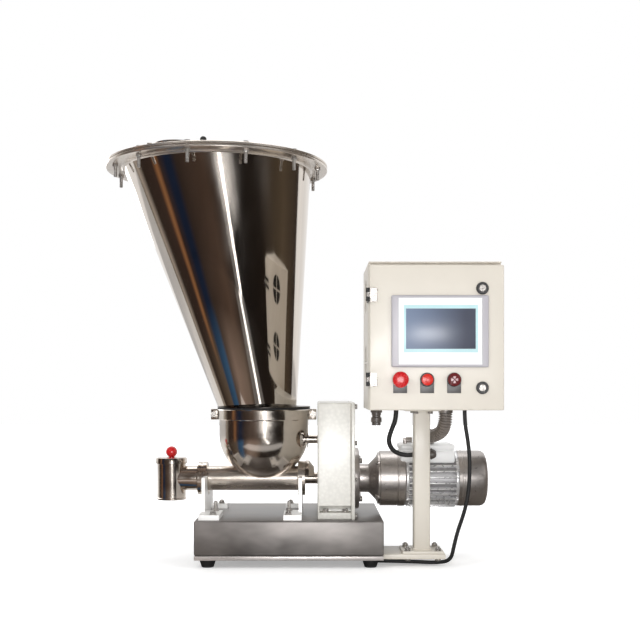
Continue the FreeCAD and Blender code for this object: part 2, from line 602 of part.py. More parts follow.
def lid():
    """The flat lid, its long bolts with their nuts under the rim, and the filling neck."""
    disc = rod("lid_disc", "Z", s.rim_radius, (lid_low, lid_top), (s.cone_top_x, 0))
    hole = rod("lid_hole", "Z", s.neck_radius - s.neck_wall, (lid_low - 1, lid_top + 1),
               (s.neck_x, s.neck_y))
    drilled = [rod(f"lid_bolt_hole_{i}", "Z", s.bolt_shank, (lid_low - 1, lid_top + 1), spot)
               for i, spot in enumerate(lid_bolt_spots())]
    node(cut("hopper_lid", disc, hole, *drilled), "hopper_lid")
    fasteners = []
    for i, spot in enumerate(lid_bolt_spots()):
        fasteners.append(fuse(f"lid_bolt_{i}",
                              rod(f"lid_bolt_{i}_rod", "Z", s.bolt_shank, (rim_low - 30, lid_top + 2), spot),
                              hexagon(f"lid_bolt_{i}_head", "Z", s.bolt_head,
                                      (lid_top, lid_top + s.bolt_head_height), spot),
                              hexagon(f"lid_bolt_{i}_nut", "Z", s.bolt_head,
                                      (rim_low - s.bolt_head_height, rim_low), spot)))
    node(group("lid_bolts", *fasteners), "lid_bolts")

    centre = (s.neck_x, s.neck_y)
    low = lid_top + s.neck_height
    inside = s.neck_radius - s.neck_wall
    tube = ring("neck_tube", "Z", s.neck_radius, inside, (lid_top, low), centre)
    flange = ring("neck_flange", "Z", s.neck_flange_radius, inside, (low, neck_top), centre)
    hinge_x = s.neck_x - s.hinge_reach
    ear_x = (hinge_x - s.hinge_knuckle, hinge_x + s.hinge_knuckle)
    ears = []
    for i, ends in enumerate(((s.neck_y - 17, s.neck_y - 11), (s.neck_y + 11, s.neck_y + 17))):
        ears.append(block(f"neck_ear_{i}", ear_x, ends, (low, neck_top + s.hinge_knuckle)))
        ears.append(block(f"neck_ear_root_{i}", (ear_x[0], s.neck_x - s.neck_radius), ends,
                          (low, neck_top)))
    pin = rod("neck_hinge_pin", "Y", s.hinge_pin_radius, (s.neck_y - 19, s.neck_y + 19),
              (hinge_x, neck_top))
    trim = rod("neck_ear_trim", "Z", inside, (low, neck_top + 20), centre)
    node(cut("inlet_neck", fuse("neck_whole", tube, flange, *ears, pin), trim), "inlet_neck")

    gap = s.running_gap * 2
    disc = rod("inlet_cover_disc", "Z", s.neck_flange_radius - 1,
               (neck_top + 0.5, neck_top + 0.5 + s.cover_wall), centre)
    plug = rod("inlet_cover_plug", "Z", inside - 2, (neck_top - 5, neck_top + 1), centre)
    hollow = rod("inlet_cover_hollow", "Z", inside - 4, (neck_top - 6, neck_top + 0.5), centre)
    knuckle = rod("inlet_cover_knuckle", "Y", s.hinge_knuckle, (s.neck_y - 10, s.neck_y + 10),
                  (hinge_x, neck_top))
    arm = block("inlet_cover_arm", (hinge_x, s.neck_x - 30), (s.neck_y - 10, s.neck_y + 10),
                (neck_top + 0.5, neck_top + 0.5 + s.cover_wall))
    ear = block("inlet_cover_ear", (s.neck_x + 40, s.neck_x + s.hinge_reach + 8), (s.neck_y - 9, s.neck_y + 9),
                (neck_top + 0.5, neck_top + 0.5 + s.cover_wall))
    bore = rod("inlet_cover_bore", "Y", s.hinge_pin_radius + gap, (s.neck_y - 11, s.neck_y + 11),
               (hinge_x, neck_top))
    cover = cut("inlet_cover_cut", fuse("inlet_cover_whole", disc, plug, knuckle, arm, ear), hollow, bore)
    node(cover, "inlet_cover")
    ear_top = neck_top + 0.5 + s.cover_wall
    knob_spot = (s.neck_x + s.hinge_reach, s.neck_y)
    node(fuse("cover_knob", rod("cover_knob_stem", "Z", 3.5, (ear_top, ear_top + 6), knob_spot),
              ball("cover_knob_ball", s.fill_knob_radius, (*knob_spot, ear_top + 5 + s.fill_knob_radius))),
         "cover_knob")


# Gear housing, shafts and gears

def housing():
    """The gear housing with bolt notches at its foot, the screwed side plate and the bearings."""
    x0, x1 = s.housing_x, plate_x
    front, back = -s.housing_front, s.housing_back
    top = base_top + s.housing_height
    shell = rounded("housing_outer", block("housing_block", (x0, x1), (front, back), (base_top, top)), 4,
                    lambda edge: along("X")(edge) and edge.BoundBox.ZMin > top.number - 1)
    room = block("housing_room", (x0 + s.housing_side, x1 + 1), (front + s.housing_wall, back - s.housing_wall),
                 (base_top + s.housing_floor, top - s.housing_wall))
    notches = [block(f"housing_notch_{i}", (x0 + 4, x1 - 2), ends,
                     (base_top + s.notch_low, base_top + s.notch_high))
               for i, ends in enumerate(((front - 1, front + s.notch_depth),
                                         (back - s.notch_depth, back + 1)))]
    seat = x0 + s.bearing_lip
    holes = [rod("housing_screw_seat", "X", s.screw_bearing, (seat, x0 + s.housing_side + 1), AXIS),
             rod("housing_screw_eye", "X", s.shaft_radius + 2, (x0 - 1, seat + 1), AXIS),
             rod("housing_stir_seat", "X", s.stir_bearing, (seat, x0 + s.housing_side + 1), STIR),
             rod("housing_stir_eye", "X", s.stir_shaft + 2, (x0 - 1, seat + 1), STIR)]
    node(cut("gear_housing", shell, room, *notches, *holes), "gear_housing")

    plate = block("housing_plate_block", (x1, adapter_x), (front, back), (base_top, top))
    bosses = [rod("plate_screw_boss", "X", s.screw_bearing + 6, (x1 - s.bearing_width, x1 + 1), AXIS),
              rod("plate_stir_boss", "X", s.stir_bearing + 6, (x1 - s.bearing_width, x1 + 1), STIR)]
    eyes = [rod("plate_screw_seat", "X", s.screw_bearing, (x1 - s.bearing_width - 1, x1), AXIS),
            rod("plate_screw_eye", "X", s.journal_radius + 2, (x1 - 1, adapter_x + 1), AXIS),
            rod("plate_stir_seat", "X", s.stir_bearing, (x1 - s.bearing_width - 1, x1), STIR)]
    node(cut("housing_cover", fuse("plate_with_bosses", plate, *bosses), *eyes), "housing_cover")

    gap = s.running_gap
    seats = ((seat, AXIS, s.screw_bearing, s.journal_radius),
             (x1 - s.bearing_width, AXIS, s.screw_bearing, s.journal_radius),
             (seat, STIR, s.stir_bearing, s.stir_shaft), (x1 - s.bearing_width, STIR, s.stir_bearing,
                                                          s.stir_shaft))
    bearings = [ring(f"bearing_{i}", "X", outer, inner + gap, (x, x + s.bearing_width), spot)
                for i, (x, spot, outer, inner) in enumerate(seats)]
    node(group("shaft_bearings", *bearings), "shaft_bearings")

    lip, deep = s.flange_radius + 2, s.housing_x - s.flange_x - s.flange_width
    outline = [(lip - 4, 0), (lip, 0), (lip, 9), (lip - 16, deep - 8), (lip - 19, deep - 8), (lip - 4, 9.5)]
    guard = turned("guard_turn", "X", outline, (s.flange_x + s.flange_width, 0, axis_z))
    lower = block("guard_lower", (s.flange_x, s.housing_x), (-60, 60), (axis_z - 60, axis_z + 8))
    node(cut("coupling_guard", guard, lower), "coupling_guard")


def drive_bolts():
    """Hex bolts of the side plate, of the housing's foot and of the drive's flange."""
    bolts = []
    low, high = base_top + 8, base_top + s.housing_height - 9
    front, back = 8 - s.housing_front, s.housing_back - 8
    for i in range(4):
        z = low + (high - low) * (i / 3)
        bolts += [side_bolt(f"plate_bolt_front_{i}", front, z), side_bolt(f"plate_bolt_back_{i}", back, z)]
    shelf = base_top + s.notch_low
    for i, y in enumerate((14 - s.housing_front, s.housing_back - 14)):
        for j, x in enumerate((s.housing_x + 19, plate_x - 13)):
            bolts.append(hexagon(f"foot_bolt_{i}_{j}", "Z", s.bolt_head, (shelf, shelf + 8), (x, y)))
    reach = s.adapter_radius * 0.61
    for i, (a, b) in enumerate(((-1, -1), (-1, 1), (1, -1), (1, 1))):
        spot = (a * reach, axis_z + b * reach)
        face = adapter_x + s.adapter_wall
        bolts.append(hexagon(f"flange_bolt_{i}", "X", s.bolt_head, (face, face + 7), spot))
    node(group("drive_bolts", *bolts), "drive_bolts")


def side_bolt(name, y, z):
    """A hex bolt head on the housing's side plate."""
    return hexagon(name, "X", 6.5, (adapter_x, adapter_x + 5.5), (y, z))


def gear_teeth():
    """Teeth of the two gears, from the distance between the shafts and the module."""
    span = math.hypot(s.stir_y.number, s.stir_rise.number)
    total = round(2 * span / s.gear_module.number)
    small = round(total * 0.318)
    return small, total - small, 2 * span / total


def gear_outline(teeth, module, first):
    """The corners of an involute gear, with a tooth centred at the angle first."""
    pitch = teeth * module / 2
    base = pitch * math.cos(math.radians(20))
    tip, root = pitch + 0.85 * module, pitch - 1.2 * module
    slack = 0.10 * module / pitch
    at_pitch = math.sqrt(max((pitch / base) ** 2 - 1, 0))
    half = math.pi / (2 * teeth) - slack + at_pitch - math.atan(at_pitch)
    flank = []
    for radius in (root, max(base, root) + 0.02, pitch, tip):
        lean = math.sqrt(max((radius / base) ** 2 - 1, 0))
        flank.append((radius, half - (lean - math.atan(lean))))
    corners = []
    for tooth in range(teeth):
        centre = first + 2 * math.pi * tooth / teeth
        side = [(r, centre - a) for r, a in flank] + [(r, centre + a) for r, a in reversed(flank)]
        corners += [FreeCAD.Vector(0, r * math.cos(t), r * math.sin(t)) for r, t in side]
    return corners + corners[:1]


def gear(name, teeth, module, first, bore, centre):
    """A spur gear about X with a bored web."""
    face = Part.Face(Part.makePolygon(gear_outline(teeth, module, first)))
    width = s.gear_width.number
    solid = face.extrude(FreeCAD.Vector(width, 0, 0))
    solid = solid.cut(Part.makeCylinder(bore, width, FreeCAD.Vector(), FreeCAD.Vector(1, 0, 0)))
    feature = doc.addObject("Part::Feature", name)
    feature.Shape = solid
    y, z = centre
    return node(place(feature, s.gear_x, y, z), name)


def gears():
    """The pinion on the screw shaft and the wheel on the agitator shaft."""
    small, large, module = gear_teeth()
    line = math.atan2(s.stir_rise.number, s.stir_y.number)
    gear("screw_gear", small, module, line, s.journal_radius.number, AXIS)
    gear("agitator_gear", large, module, line + math.pi + math.pi / large, s.stir_shaft.number, STIR)


def feed_screw():
    """The feed screw: a helical flight on its core, and the shaft through the seal to the drive."""
    start, end = s.spout_x + 4, s.flange_x - 2
    core = s.screw_core.number
    length = end.number - start.number
    helix = Part.makeHelix(s.screw_pitch.number, length - 6, core - 1)
    thick = s.screw_flight.number / 2
    inner, outer = core - 1, s.screw_radius.number
    section = Part.makePolygon([FreeCAD.Vector(inner, 0, -thick), FreeCAD.Vector(outer, 0, -thick * 0.7),
                                FreeCAD.Vector(outer, 0, thick * 0.7), FreeCAD.Vector(inner, 0, thick),
                                FreeCAD.Vector(inner, 0, -thick)])
    flight = Part.Wire(helix).makePipeShell([section], True, True)
    flight.translate(FreeCAD.Vector(0, 0, 3))
    solid = Part.makeCylinder(core, length).fuse(flight)
    solid = solid.common(Part.makeCylinder(outer, length))
    coupled = adapter_x.number + 18 - start.number
    step = s.flange_x.number - 2 - start.number
    bearing = s.housing_x.number + s.bearing_lip.number - start.number
    solid = solid.fuse([Part.makeCylinder(s.shaft_radius.number, bearing - step, FreeCAD.Vector(0, 0, step)),
                        Part.makeCylinder(s.journal_radius.number, coupled - bearing,
                                          FreeCAD.Vector(0, 0, bearing))])
    feature = doc.addObject("Part::Feature", "feed_screw")
    feature.Shape = solid.removeSplitter()
    node(place(feature, start, 0, axis_z, DIRECTIONS["X"]), "feed_screw")


def agitator():
    """The agitator: a shaft with four bent-rod paddles that sweep the bowl, and its slinger disc."""
    end = plate_x - 1
    left = s.bowl_x - s.stir_reach
    shaft = rod("stir_shaft_rod", "X", s.stir_shaft, (left - 6, end), STIR)
    slinger = rod("stir_slinger", "X", s.slinger_radius, (boss_end() + 6, boss_end() + 8.5), STIR)
    paddles = []
    for i, (x, side) in enumerate(((-42, -1), (-14, 1), (14, -1), (42, 1))):
        centre = s.bowl_x + x
        sweep = s.stir_reach / 2 if abs(x) > 30 else s.stir_reach / 2 + 12
        ends = (stir_z, stir_z + sweep) if side > 0 else (stir_z - sweep, stir_z)
        paddles.append(rod(f"stir_arm_{i}", "Z", 5, ends, (centre, s.stir_y)))
        level = stir_z + side * sweep
        paddles.append(block(f"stir_blade_{i}", (centre - 14, centre + 14), (s.stir_y - 2, s.stir_y + 2),
                             (level - 6, level + 3) if side > 0 else (level - 3, level + 6)))
    node(fuse("agitator", shaft, slinger, *paddles), "agitator")


# Reducer and motor

def reducer():
    """The reducer's case: bolting flange, neck, flared cone and ringed drum, bored for both shafts."""
    base = s.adapter_wall
    neck = base + s.drive_neck
    flare = neck + s.drive_cone
    seam = flare + s.case_length
    end = seam + s.case_ring
    bore, deep = s.journal_radius + 1, 22
    shaft = s.rotor_shaft + s.running_gap
    outline = [(bore, 0), (s.adapter_radius, 0), (s.adapter_radius, base - 4), (s.adapter_radius - 4, base),
               (s.drive_neck_radius, base), (s.drive_neck_radius, neck), (s.case_radius - 12, flare - 6),
               (s.case_radius - 4, flare - 4), (s.case_radius - 4, flare), (s.case_radius, flare + 3),
               (s.case_radius, seam - 1.5), (s.case_radius - 1.5, seam), (s.case_radius + 1, seam + 1.5),
               (s.case_radius + 1, end - 3), (s.case_radius - 2, end), (shaft, end), (shaft, end - 30),
               (0, end - 30), (0, deep), (bore, deep)]
    node(turned("reducer", "X", outline, (adapter_x, 0, axis_z)), "reducer")


def motor():
    """The finned motor frame, its fan cowl, the rotor with its shaft, and the cooling fan."""
    fins = 30
    end = frame_x + s.frame_length
    core = rod("frame_core", "X", s.frame_radius, (frame_x, end), AXIS)
    blades = []
    for i in range(fins):
        fin = doc.addObject("Part::Box", f"frame_fin_{i}")
        turn = 360 * i / fins
        fin.setExpression("Length", (s.frame_length - 8).text)
        fin.setExpression("Width", s.fin_wall.text)
        fin.setExpression("Height", s.fin_radius.text)
        angle = math.radians(turn)
        shift = s.fin_wall / 2
        place(fin, frame_x + 4, -shift * math.cos(angle), axis_z - shift * math.sin(angle),
              FreeCAD.Rotation(FreeCAD.Vector(1, 0, 0), turn))
        blades.append(fin)
    rings = [rod(f"frame_ring_{i}", "X", s.fin_radius - 4, ends, AXIS)
             for i, ends in enumerate(((frame_x, frame_x + 7), (end - 7, end)))]
    seat = block("frame_box_seat", (s.box_x - 2, s.box_x + s.box_length + 2),
                 (-s.box_half - 2, s.box_half + 2), (axis_z + s.box_low - 2, axis_z + s.fin_radius + 5))
    ribs = cut("frame_ribs", fuse("frame_ribs_whole", *rings, *blades), seat)
    bore = rod("frame_bore_room", "X", s.frame_bore, (frame_x - 1, end - s.end_shield), AXIS)
    eye = rod("frame_eye", "X", s.rotor_shaft + s.running_gap, (frame_x, end + 1), AXIS)
    node(cut("motor_frame", fuse("frame_whole", core, ribs), bore, eye), "motor_frame")

    radius, wall, deep = s.cowl_radius, 2, s.cowl_length
    cowl = turned("cowl_shell", "X",
                  [(radius - wall, 0), (radius, 0), (radius, deep - 14), (radius - 4, deep - 4),
                   (radius - 14, deep), (0, deep), (0, deep - wall), (radius - 15, deep - wall),
                   (radius - 4 - wall, deep - 5), (radius - wall, deep - 14)], (cowl_x, 0, axis_z))
    slots = []
    count = 16
    for i in range(count):
        slot = doc.addObject("Part::Box", f"cowl_slot_{i}")
        turn = 360 * i / count
        angle = math.radians(turn)
        slot.setExpression("Length", "20")
        slot.setExpression("Width", "5")
        slot.setExpression("Height", (radius - 34).text)
        place(slot, cowl_x + deep - 8, -2.5 * math.cos(angle) - 16 * math.sin(angle),
              axis_z - 2.5 * math.sin(angle) + 16 * math.cos(angle),
              FreeCAD.Rotation(FreeCAD.Vector(1, 0, 0), turn))
        slots.append(slot)
    node(cut("fan_cover", cowl, *slots), "fan_cover")

    start = frame_x - 28
    shaft = rod("rotor_shaft_rod", "X", s.rotor_shaft, (start, cowl_x + 44), AXIS)
    pack = rod("rotor_pack", "X", s.rotor_radius, (frame_x + 14, end - s.end_shield - 8), AXIS)
    node(fuse("motor_rotor", shaft, pack), "motor_rotor")

    hub_x = (cowl_x + 16, cowl_x + 44)
    hub = ring("fan_hub", "X", 20, s.rotor_shaft, hub_x, AXIS)
    vanes = []
    for i in range(8):
        vane = doc.addObject("Part::Box", f"fan_vane_{i}")
        turn = 360 * i / 8
        angle = math.radians(turn)
        vane.setExpression("Length", "24")
        vane.setExpression("Width", "3")
        vane.setExpression("Height", (s.fan_radius - 15).text)
        place(vane, cowl_x + 18, -1.5 * math.cos(angle) - 15 * math.sin(angle),
              axis_z - 1.5 * math.sin(angle) + 15 * math.cos(angle),
              FreeCAD.Rotation(FreeCAD.Vector(1, 0, 0), turn))
        vanes.append(vane)
    node(fuse("cooling_fan", hub, *vanes), "cooling_fan")


def terminal_box():
    """The terminal box saddled on the motor, with a lid line and rounded corners."""
    low = axis_z + s.box_low
    high = low + s.box_height
    box = rounded("box_outer", block("box_block", (s.box_x, s.box_x + s.box_length),
                                     (-s.box_half, s.box_half), (low, high)), 7,
                  lambda edge: along("Z")(edge) or edge.BoundBox.ZMin > high.number - 0.1)
    saddle = rod("box_saddle", "X", s.frame_radius, (s.box_x - 1, s.box_x + s.box_length + 1), AXIS)
    relief = rod("box_relief", "X", s.case_radius + 1.3, (s.box_x - 1, frame_x + 0.3), AXIS)
    node(cut("terminal_box", box, saddle, relief), "terminal_box")


# Post and its foot

def post():
    """The foot bar on the tray's side, and the square post with its foot and head plates."""
    side = s.base_width / 2
    front = -s.foot_bar_front
    bar = block("post_foot_bar", (side, side + s.foot_bar_reach), (front, front + s.foot_bar_depth),
                (s.foot_height, foot_bar_top))
    node(rounded("post_foot", bar, 2, along("X")), "post_foot")
    half, plate = s.post_side / 2, s.post_plate_half
    x, y = s.post_x, s.post_y
    tube = block("post_tube", (x - half, x + half), (y - half, y + half), (post_low, post_top))
    tube = rounded("post_tube_round", tube, 3, along("Z"))
    room = block("post_room", (x - half + s.post_wall, x + half - s.post_wall),
                 (y - half + s.post_wall, y + half - s.post_wall), (post_low - 1, post_top + 1))
    foot = block("post_foot_plate", (x - plate, x + plate), (y - plate + 2, y + plate - 2),
                 (foot_bar_top, post_low))
    head = block("post_head_plate", (x - plate + 7, x + plate - 7), (y - plate + 2, y + plate - 12),
                 (post_top, cabinet_low))
    node(fuse("cabinet_post", cut("post_hollow", tube, room), foot, head), "cabinet_post")


# Cabinet

def cabinet():
    """The cabinet's body with front lips, a rain gutter and two round side vents, and what it holds."""
    left, right = cabinet_left, cabinet_left + s.cabinet_width
    front, back = s.cabinet_front, cabinet_back
    low, high = cabinet_low, cabinet_low + s.cabinet_height
    wall, lip = s.cabinet_wall, s.cabinet_lip
    shell = block("cabinet_block", (left, right), (front, back), (low, high))
    room = block("cabinet_room", (left + wall, right - wall), (front + wall, back - wall),
                 (low + wall, high - wall))
    mouth = block("cabinet_mouth", (left + lip, right - lip), (front - 1, front + wall + 1),
                  (low + lip, high - lip))
    gutter = block("cabinet_gutter", (left, right), (front - 6, front + 1), (high - 3, high))
    vents = []
    for i in range(2):
        z = low + s.vent_low + s.vent_pitch * i
        y = (front + back) / 2
        disc = rod(f"vent_disc_{i}", "X", s.vent_radius, (left - 1, left + wall + 1), (y, z))
        web_y = block(f"vent_web_y_{i}", (left - 2, left + wall + 2),
                      (y - s.vent_web / 2, y + s.vent_web / 2), (z - s.vent_radius, z + s.vent_radius))
        web_z = block(f"vent_web_z_{i}", (left - 2, left + wall + 2),
                      (y - s.vent_radius, y + s.vent_radius), (z - s.vent_web / 2, z + s.vent_web / 2))
        vents.append(cut(f"vent_{i}", disc, web_y, web_z))
    entries = [rod(f"cabinet_entry_{i}", "Z", radius, (low - 1, low + wall + 1), spot)
               for i, (spot, radius) in enumerate(cable_entries())]
    node(cut("cabinet_body", fuse("cabinet_with_gutter", cut("cabinet_open", shell, room, mouth), gutter),
             *vents, *entries), "cabinet_body")

    inner = (left + 20, right - 20)
    plate = block("plate_sheet", inner, (back - wall - 6, back - wall - 4), (low + 20, high - 20))
    spacers = [rod(f"plate_spacer_{i}", "Y", 5, (back - wall - 4, back - wall), (x, z))
               for i, (x, z) in enumerate(((inner[0] + 10, low + 30), (inner[1] - 10, low + 30),
                                           (inner[0] + 10, high - 30), (inner[1] - 10, high - 30)))]
    node(fuse("mounting_plate", plate, *spacers), "mounting_plate")
    face = back - wall - 6
    drive = block("drive_case", (s.cabinet_x - 45, s.cabinet_x + 35), (face - 110, face),
                  (low + 90, low + 240))
    ribs = [block(f"drive_slot_{i}", (s.cabinet_x - 46, s.cabinet_x - 42), (face - 100, face - 15),
                  (low + 105 + 16 * i, low + 111 + 16 * i)) for i in range(8)]
    node(cut("motor_drive", drive, *ribs), "motor_drive")


def cable_entries():
    """Places and hole radii of the glands and grommets in the cabinet's bottom."""
    return [(GLAND_SPOT, 8.5), (MOTOR_CABLE[0][:2], s.motor_cable / 2 + 1),
            (CELL_CABLE[0][:2], s.cell_cable / 2 + 1), (CONDUIT[0][:2], s.conduit_size / 2 - 2)]


def door():
    """The door pan with its cut-outs, and the operator panel in it."""
    left, right = door_left, door_left + s.door_width
    low, high = cabinet_low, cabinet_low + s.door_height
    wall = s.door_wall
    pan = rounded("door_outer", block("door_block", (left, right), (door_front, door_back), (low, high)),
                  3, lambda edge: along("Y")(edge) or edge.BoundBox.YMax < door_front.number + 0.1)
    room = block("door_room", (left + wall, right - wall), (door_front + wall, door_back + 1),
                 (low + wall, high - wall))
    half_x, half_z = s.panel_width / 2 - 8, s.panel_height / 2 - 8
    panel_z = low + s.panel_rise
    window = block("door_window", (s.panel_x - half_x, s.panel_x + half_x), (door_front - 1, door_front + 5),
                   (panel_z - half_z, panel_z + half_z))
    holes = [rod(f"door_button_hole_{i}", "Y", s.button_hole, (door_front - 1, door_front + 5), spot)
             for i, spot in enumerate(button_spots())]
    holes += [rod(f"door_lock_hole_{i}", "Y", s.lock_radius - 4, (door_front - 1, door_front + 5), spot)
              for i, spot in enumerate(lock_spots())]
    node(cut("cabinet_door", pan, room, window, *holes), "cabinet_door")

    face = door_front - s.panel_wall
    bezel = rounded("panel_bezel", block("panel_bezel_block",
                                         (s.panel_x - s.panel_width / 2, s.panel_x + s.panel_width / 2),
                                         (face, door_front),
                                         (panel_z - s.panel_height / 2, panel_z + s.panel_height / 2)), 5,
                    lambda edge: along("Y")(edge))
    deep = 0.5
    rear = block("panel_rear", (s.panel_x - half_x + deep, s.panel_x + half_x - deep),
                 (door_front, door_front + s.panel_back), (panel_z - half_z + deep, panel_z + half_z - deep))
    glass_x, glass_z = s.panel_width / 2 - 29, s.panel_height / 2 - 25
    pocket = block("panel_pocket", (s.panel_x - glass_x, s.panel_x + glass_x), (face - 1, face + 2),
                   (panel_z - glass_z, panel_z + glass_z))
    node(cut("operator_panel", fuse("panel_whole", bezel, rear), pocket), "operator_panel")
    node(block("panel_screen", (s.panel_x - glass_x, s.panel_x + glass_x), (face + 0.5, face + 2),
               (panel_z - glass_z, panel_z + glass_z)), "panel_screen")


def button_spots():
    """Centres of the stop button, the lit button and the lamp on the door."""
    z = cabinet_low + s.button_rise
    return [(s.button_x - s.button_pitch, z), (s.button_x, z), (s.button_x + s.button_pitch, z)]


def lock_spots():
    """Centres of the two locks on the door."""
    low = cabinet_low + s.lock_low
    return [(s.lock_x, low + s.lock_pitch), (s.lock_x, low)]


def controls():
    """Stop button, lit button, lamp, their collars and plates, and the two quarter-turn locks."""
    plate_y = door_front - 1
    plates, collars = [], []
    for i, (x, z) in enumerate(button_spots()):
        plate = block(f"legend_{i}", (x - s.plate_width / 2, x + s.plate_width / 2), (plate_y, door_front),
                      (z - s.plate_height + 17, z + 17))
        plates.append(cut(f"legend_cut_{i}", plate, rod(f"legend_hole_{i}", "Y", s.button_hole,
                                                       (plate_y - 1, door_front + 1), (x, z))))
        front = plate_y - s.collar_height
        body = ring(f"collar_{i}", "Y", s.collar_radius, s.button_hole - 1, (front, plate_y), (x, z))
        barrel_part = ring(f"collar_barrel_{i}", "Y", s.button_hole, s.button_hole - 1,
                           (plate_y - 1, door_front + 24), (x, z))
        collars.append(fuse(f"collar_whole_{i}", body, barrel_part))
    node(group("legend_plates", *plates), "legend_plates")
    for i, (x, z) in enumerate(lock_spots()):
        head = ring(f"lock_ring_{i}", "Y", s.lock_radius, s.lock_core + 0.3, (door_front - 4, door_front),
                    (x, z))
        sleeve = ring(f"lock_sleeve_{i}", "Y", s.lock_radius - 4, s.lock_core + 0.3,
                      (door_front - 1, door_front + 12), (x, z))
        collars.append(fuse(f"lock_housing_{i}", head, sleeve))
    node(group("control_collars", *collars), "control_collars")

    stop, lit, lamp = button_spots()
    front = plate_y - s.collar_height
    slide = s.button_hole - 1.3
    head_back = front - 5
    stem = rod("stop_stem", "Y", slide, (head_back - 1, door_front + 10), stop)
    cap = turned("stop_cap", "Y", [(0, 0), (16, 2), (17.5, 6), (17.5, 10), (14, 13), (0, 13)],
                 (stop[0], head_back - 13, stop[1]))
    node(fuse("estop_head", stem, cap), "estop_head")
    node(turned("start_button", "Y", [(0, 0), (slide - 1.5, 0), (slide, 1.5), (slide, 20), (0, 20)],
                (lit[0], front - 3.5, lit[1])), "start_button")
    dome = turned("pilot_lamp", "Y", [(0, 0), (9, 0), (13, 2.5), (13, 4), (slide, 4), (slide, 22), (0, 22)],
                  (lamp[0], front - 4, lamp[1]))
    node(dome, "pilot_lamp")

    for name, (x, z) in zip(("lock_upper", "lock_lower"), lock_spots()):
        core = rod(name + "_core", "Y", s.lock_core, (door_front - 5, door_front + 14), (x, z))
        key = rod(name + "_key", "Y", 3, (door_front - 6, door_front - 2), (x, z))
        slot = block(name + "_slot", (x - 1, x + 1), (door_front - 7, door_front - 2), (z - 5, z + 5))
        tail = rod(name + "_tail", "Y", 4, (door_front + 14, LATCH_BACK), (x, z))
        blade = block(name + "_blade", (x - 8, x + 8), (LATCH_BACK - 3, LATCH_BACK), (z - 8, z + LATCH_LENGTH))
        node(cut(name, fuse(name + "_whole", core, tail, blade), fuse(name + "_face", key, slot)), name)


LATCH_BACK = s.cabinet_front + s.cabinet_wall + 4.5
LATCH_LENGTH = cabinet_left + s.cabinet_width - 5 - s.lock_x


def hinges():
    """Two surface hinges at the door's left: leaves on the door, leaves and pins on the body."""
    axis = hinge_axis()
    door_leaves, body_leaves = [], []
    for i in range(2):
        low = cabinet_low + s.leaf_low + s.leaf_pitch * i
        high = low + s.leaf_height
        third = s.leaf_height / 3
        outer, pin = s.hinge_radius, s.hinge_radius - 2
        gap = s.running_gap * 2
        middle = (low + third + gap, high - third - gap)
        plate = block(f"door_leaf_{i}", (axis[0], axis[0] + s.leaf_width + 2),
                      (door_front - s.leaf_wall, door_front), (low, high))
        relief = [block(f"door_leaf_relief_{i}_{j}", (axis[0] - outer - 1, axis[0] + outer + 1),
                        (door_front - 20, door_front + 1), ends)
                  for j, ends in enumerate(((low - 1, low + third + gap), (high - third - gap, high + 1)))]
        knuckle = rod(f"door_knuckle_{i}", "Z", outer, middle, axis)
        bore = rod(f"door_knuckle_bore_{i}", "Z", pin + s.running_gap, (low - 1, high + 1), axis)
        door_leaves.append(cut(f"door_leaf_cut_{i}", fuse(f"door_leaf_whole_{i}", plate, knuckle),
                               *relief, bore))
        strap_x = (cabinet_left - s.leaf_wall, cabinet_left)
        for j, ends in enumerate(((low, low + third), (high - third, high))):
            body_leaves.append(fuse(f"body_leaf_{i}_{j}",
                                    rod(f"body_knuckle_{i}_{j}", "Z", outer, ends, axis),
                                    block(f"body_strap_{i}_{j}", strap_x, (axis[1], s.cabinet_front + 22),
                                          ends)))
        body_leaves.append(rod(f"hinge_pin_{i}", "Z", pin, (low, high), axis))
    whole = [fuse(f"body_hinge_{i}", *body_leaves[3 * i:3 * i + 3]) for i in range(2)]
    node(group("body_hinge_leaves", *whole), "body_hinge_leaves")
    node(group("door_hinge_leaves", *door_leaves), "door_hinge_leaves")


def hinge_axis():
    """The hinge line at the door's left front corner, as x and y."""
    return cabinet_left - s.leaf_wall, door_front - s.hinge_radius


# Cables and their glands

GLAND_SPOT = (cabinet_left + 21, s.cabinet_front + 65)
MOTOR_CABLE = [(252, -100, 367), (252, -100, 341), (240.5, -97, 314), (233, -94, 287), (246, -86, 263),
               (272, -80.5, 253.5), (298, -80, 255), (326, -80, 255)]
CELL_CABLE = [(399, -200, 367), (399, -200, 338), (406, -197, 300), (411, -194, 262), (412, -190, 225),
              (411, -185, 188), (407, -178, 152), (399, -170, 118), (389, -162, 86), (381, -156, 50),
              (375, -146, 14), (344, -132, 6.5), (292, -120, 7), (240, -109, 6.5), (174, -104, 7),
              (173, -101, 67), (113, -12, 66), (75, -12, 66)]
CONDUIT = [(369, -99, 361), (369, -99, 332), (362, -87, 310), (347, -67, 299.5), (337, -48, 298),
           (337, -29, 298)]


def rounded_path(points):
    """A wire through a route: straight runs joined by tangent arcs, and its smallest radius."""
    points = [FreeCAD.Vector(*point) for point in points]
    edges, start, smallest = [], points[0], None
    for before, corner, after in zip(points, points[1:], points[2:]):
        back, ahead = before - corner, after - corner
        run = min(back.Length, ahead.Length)
        back.normalize()
        ahead.normalize()
        half_turn = (math.pi - back.getAngle(ahead)) / 2
        reach = 0.45 * run
        radius = reach / math.tan(half_turn)
        smallest = radius if smallest is None else min(smallest, radius)
        enter, leave = corner + back * reach, corner + ahead * reach
        inward = back + ahead
        inward.normalize()
        middle = corner + inward * (radius / math.cos(half_turn) - radius)
        edges.append(Part.LineSegment(start, enter).toShape())
        edges.append(Part.Arc(enter, middle, leave).toShape())
        start = leave
    edges.append(Part.LineSegment(start, points[-1]).toShape())
    return Part.Wire(edges), smallest


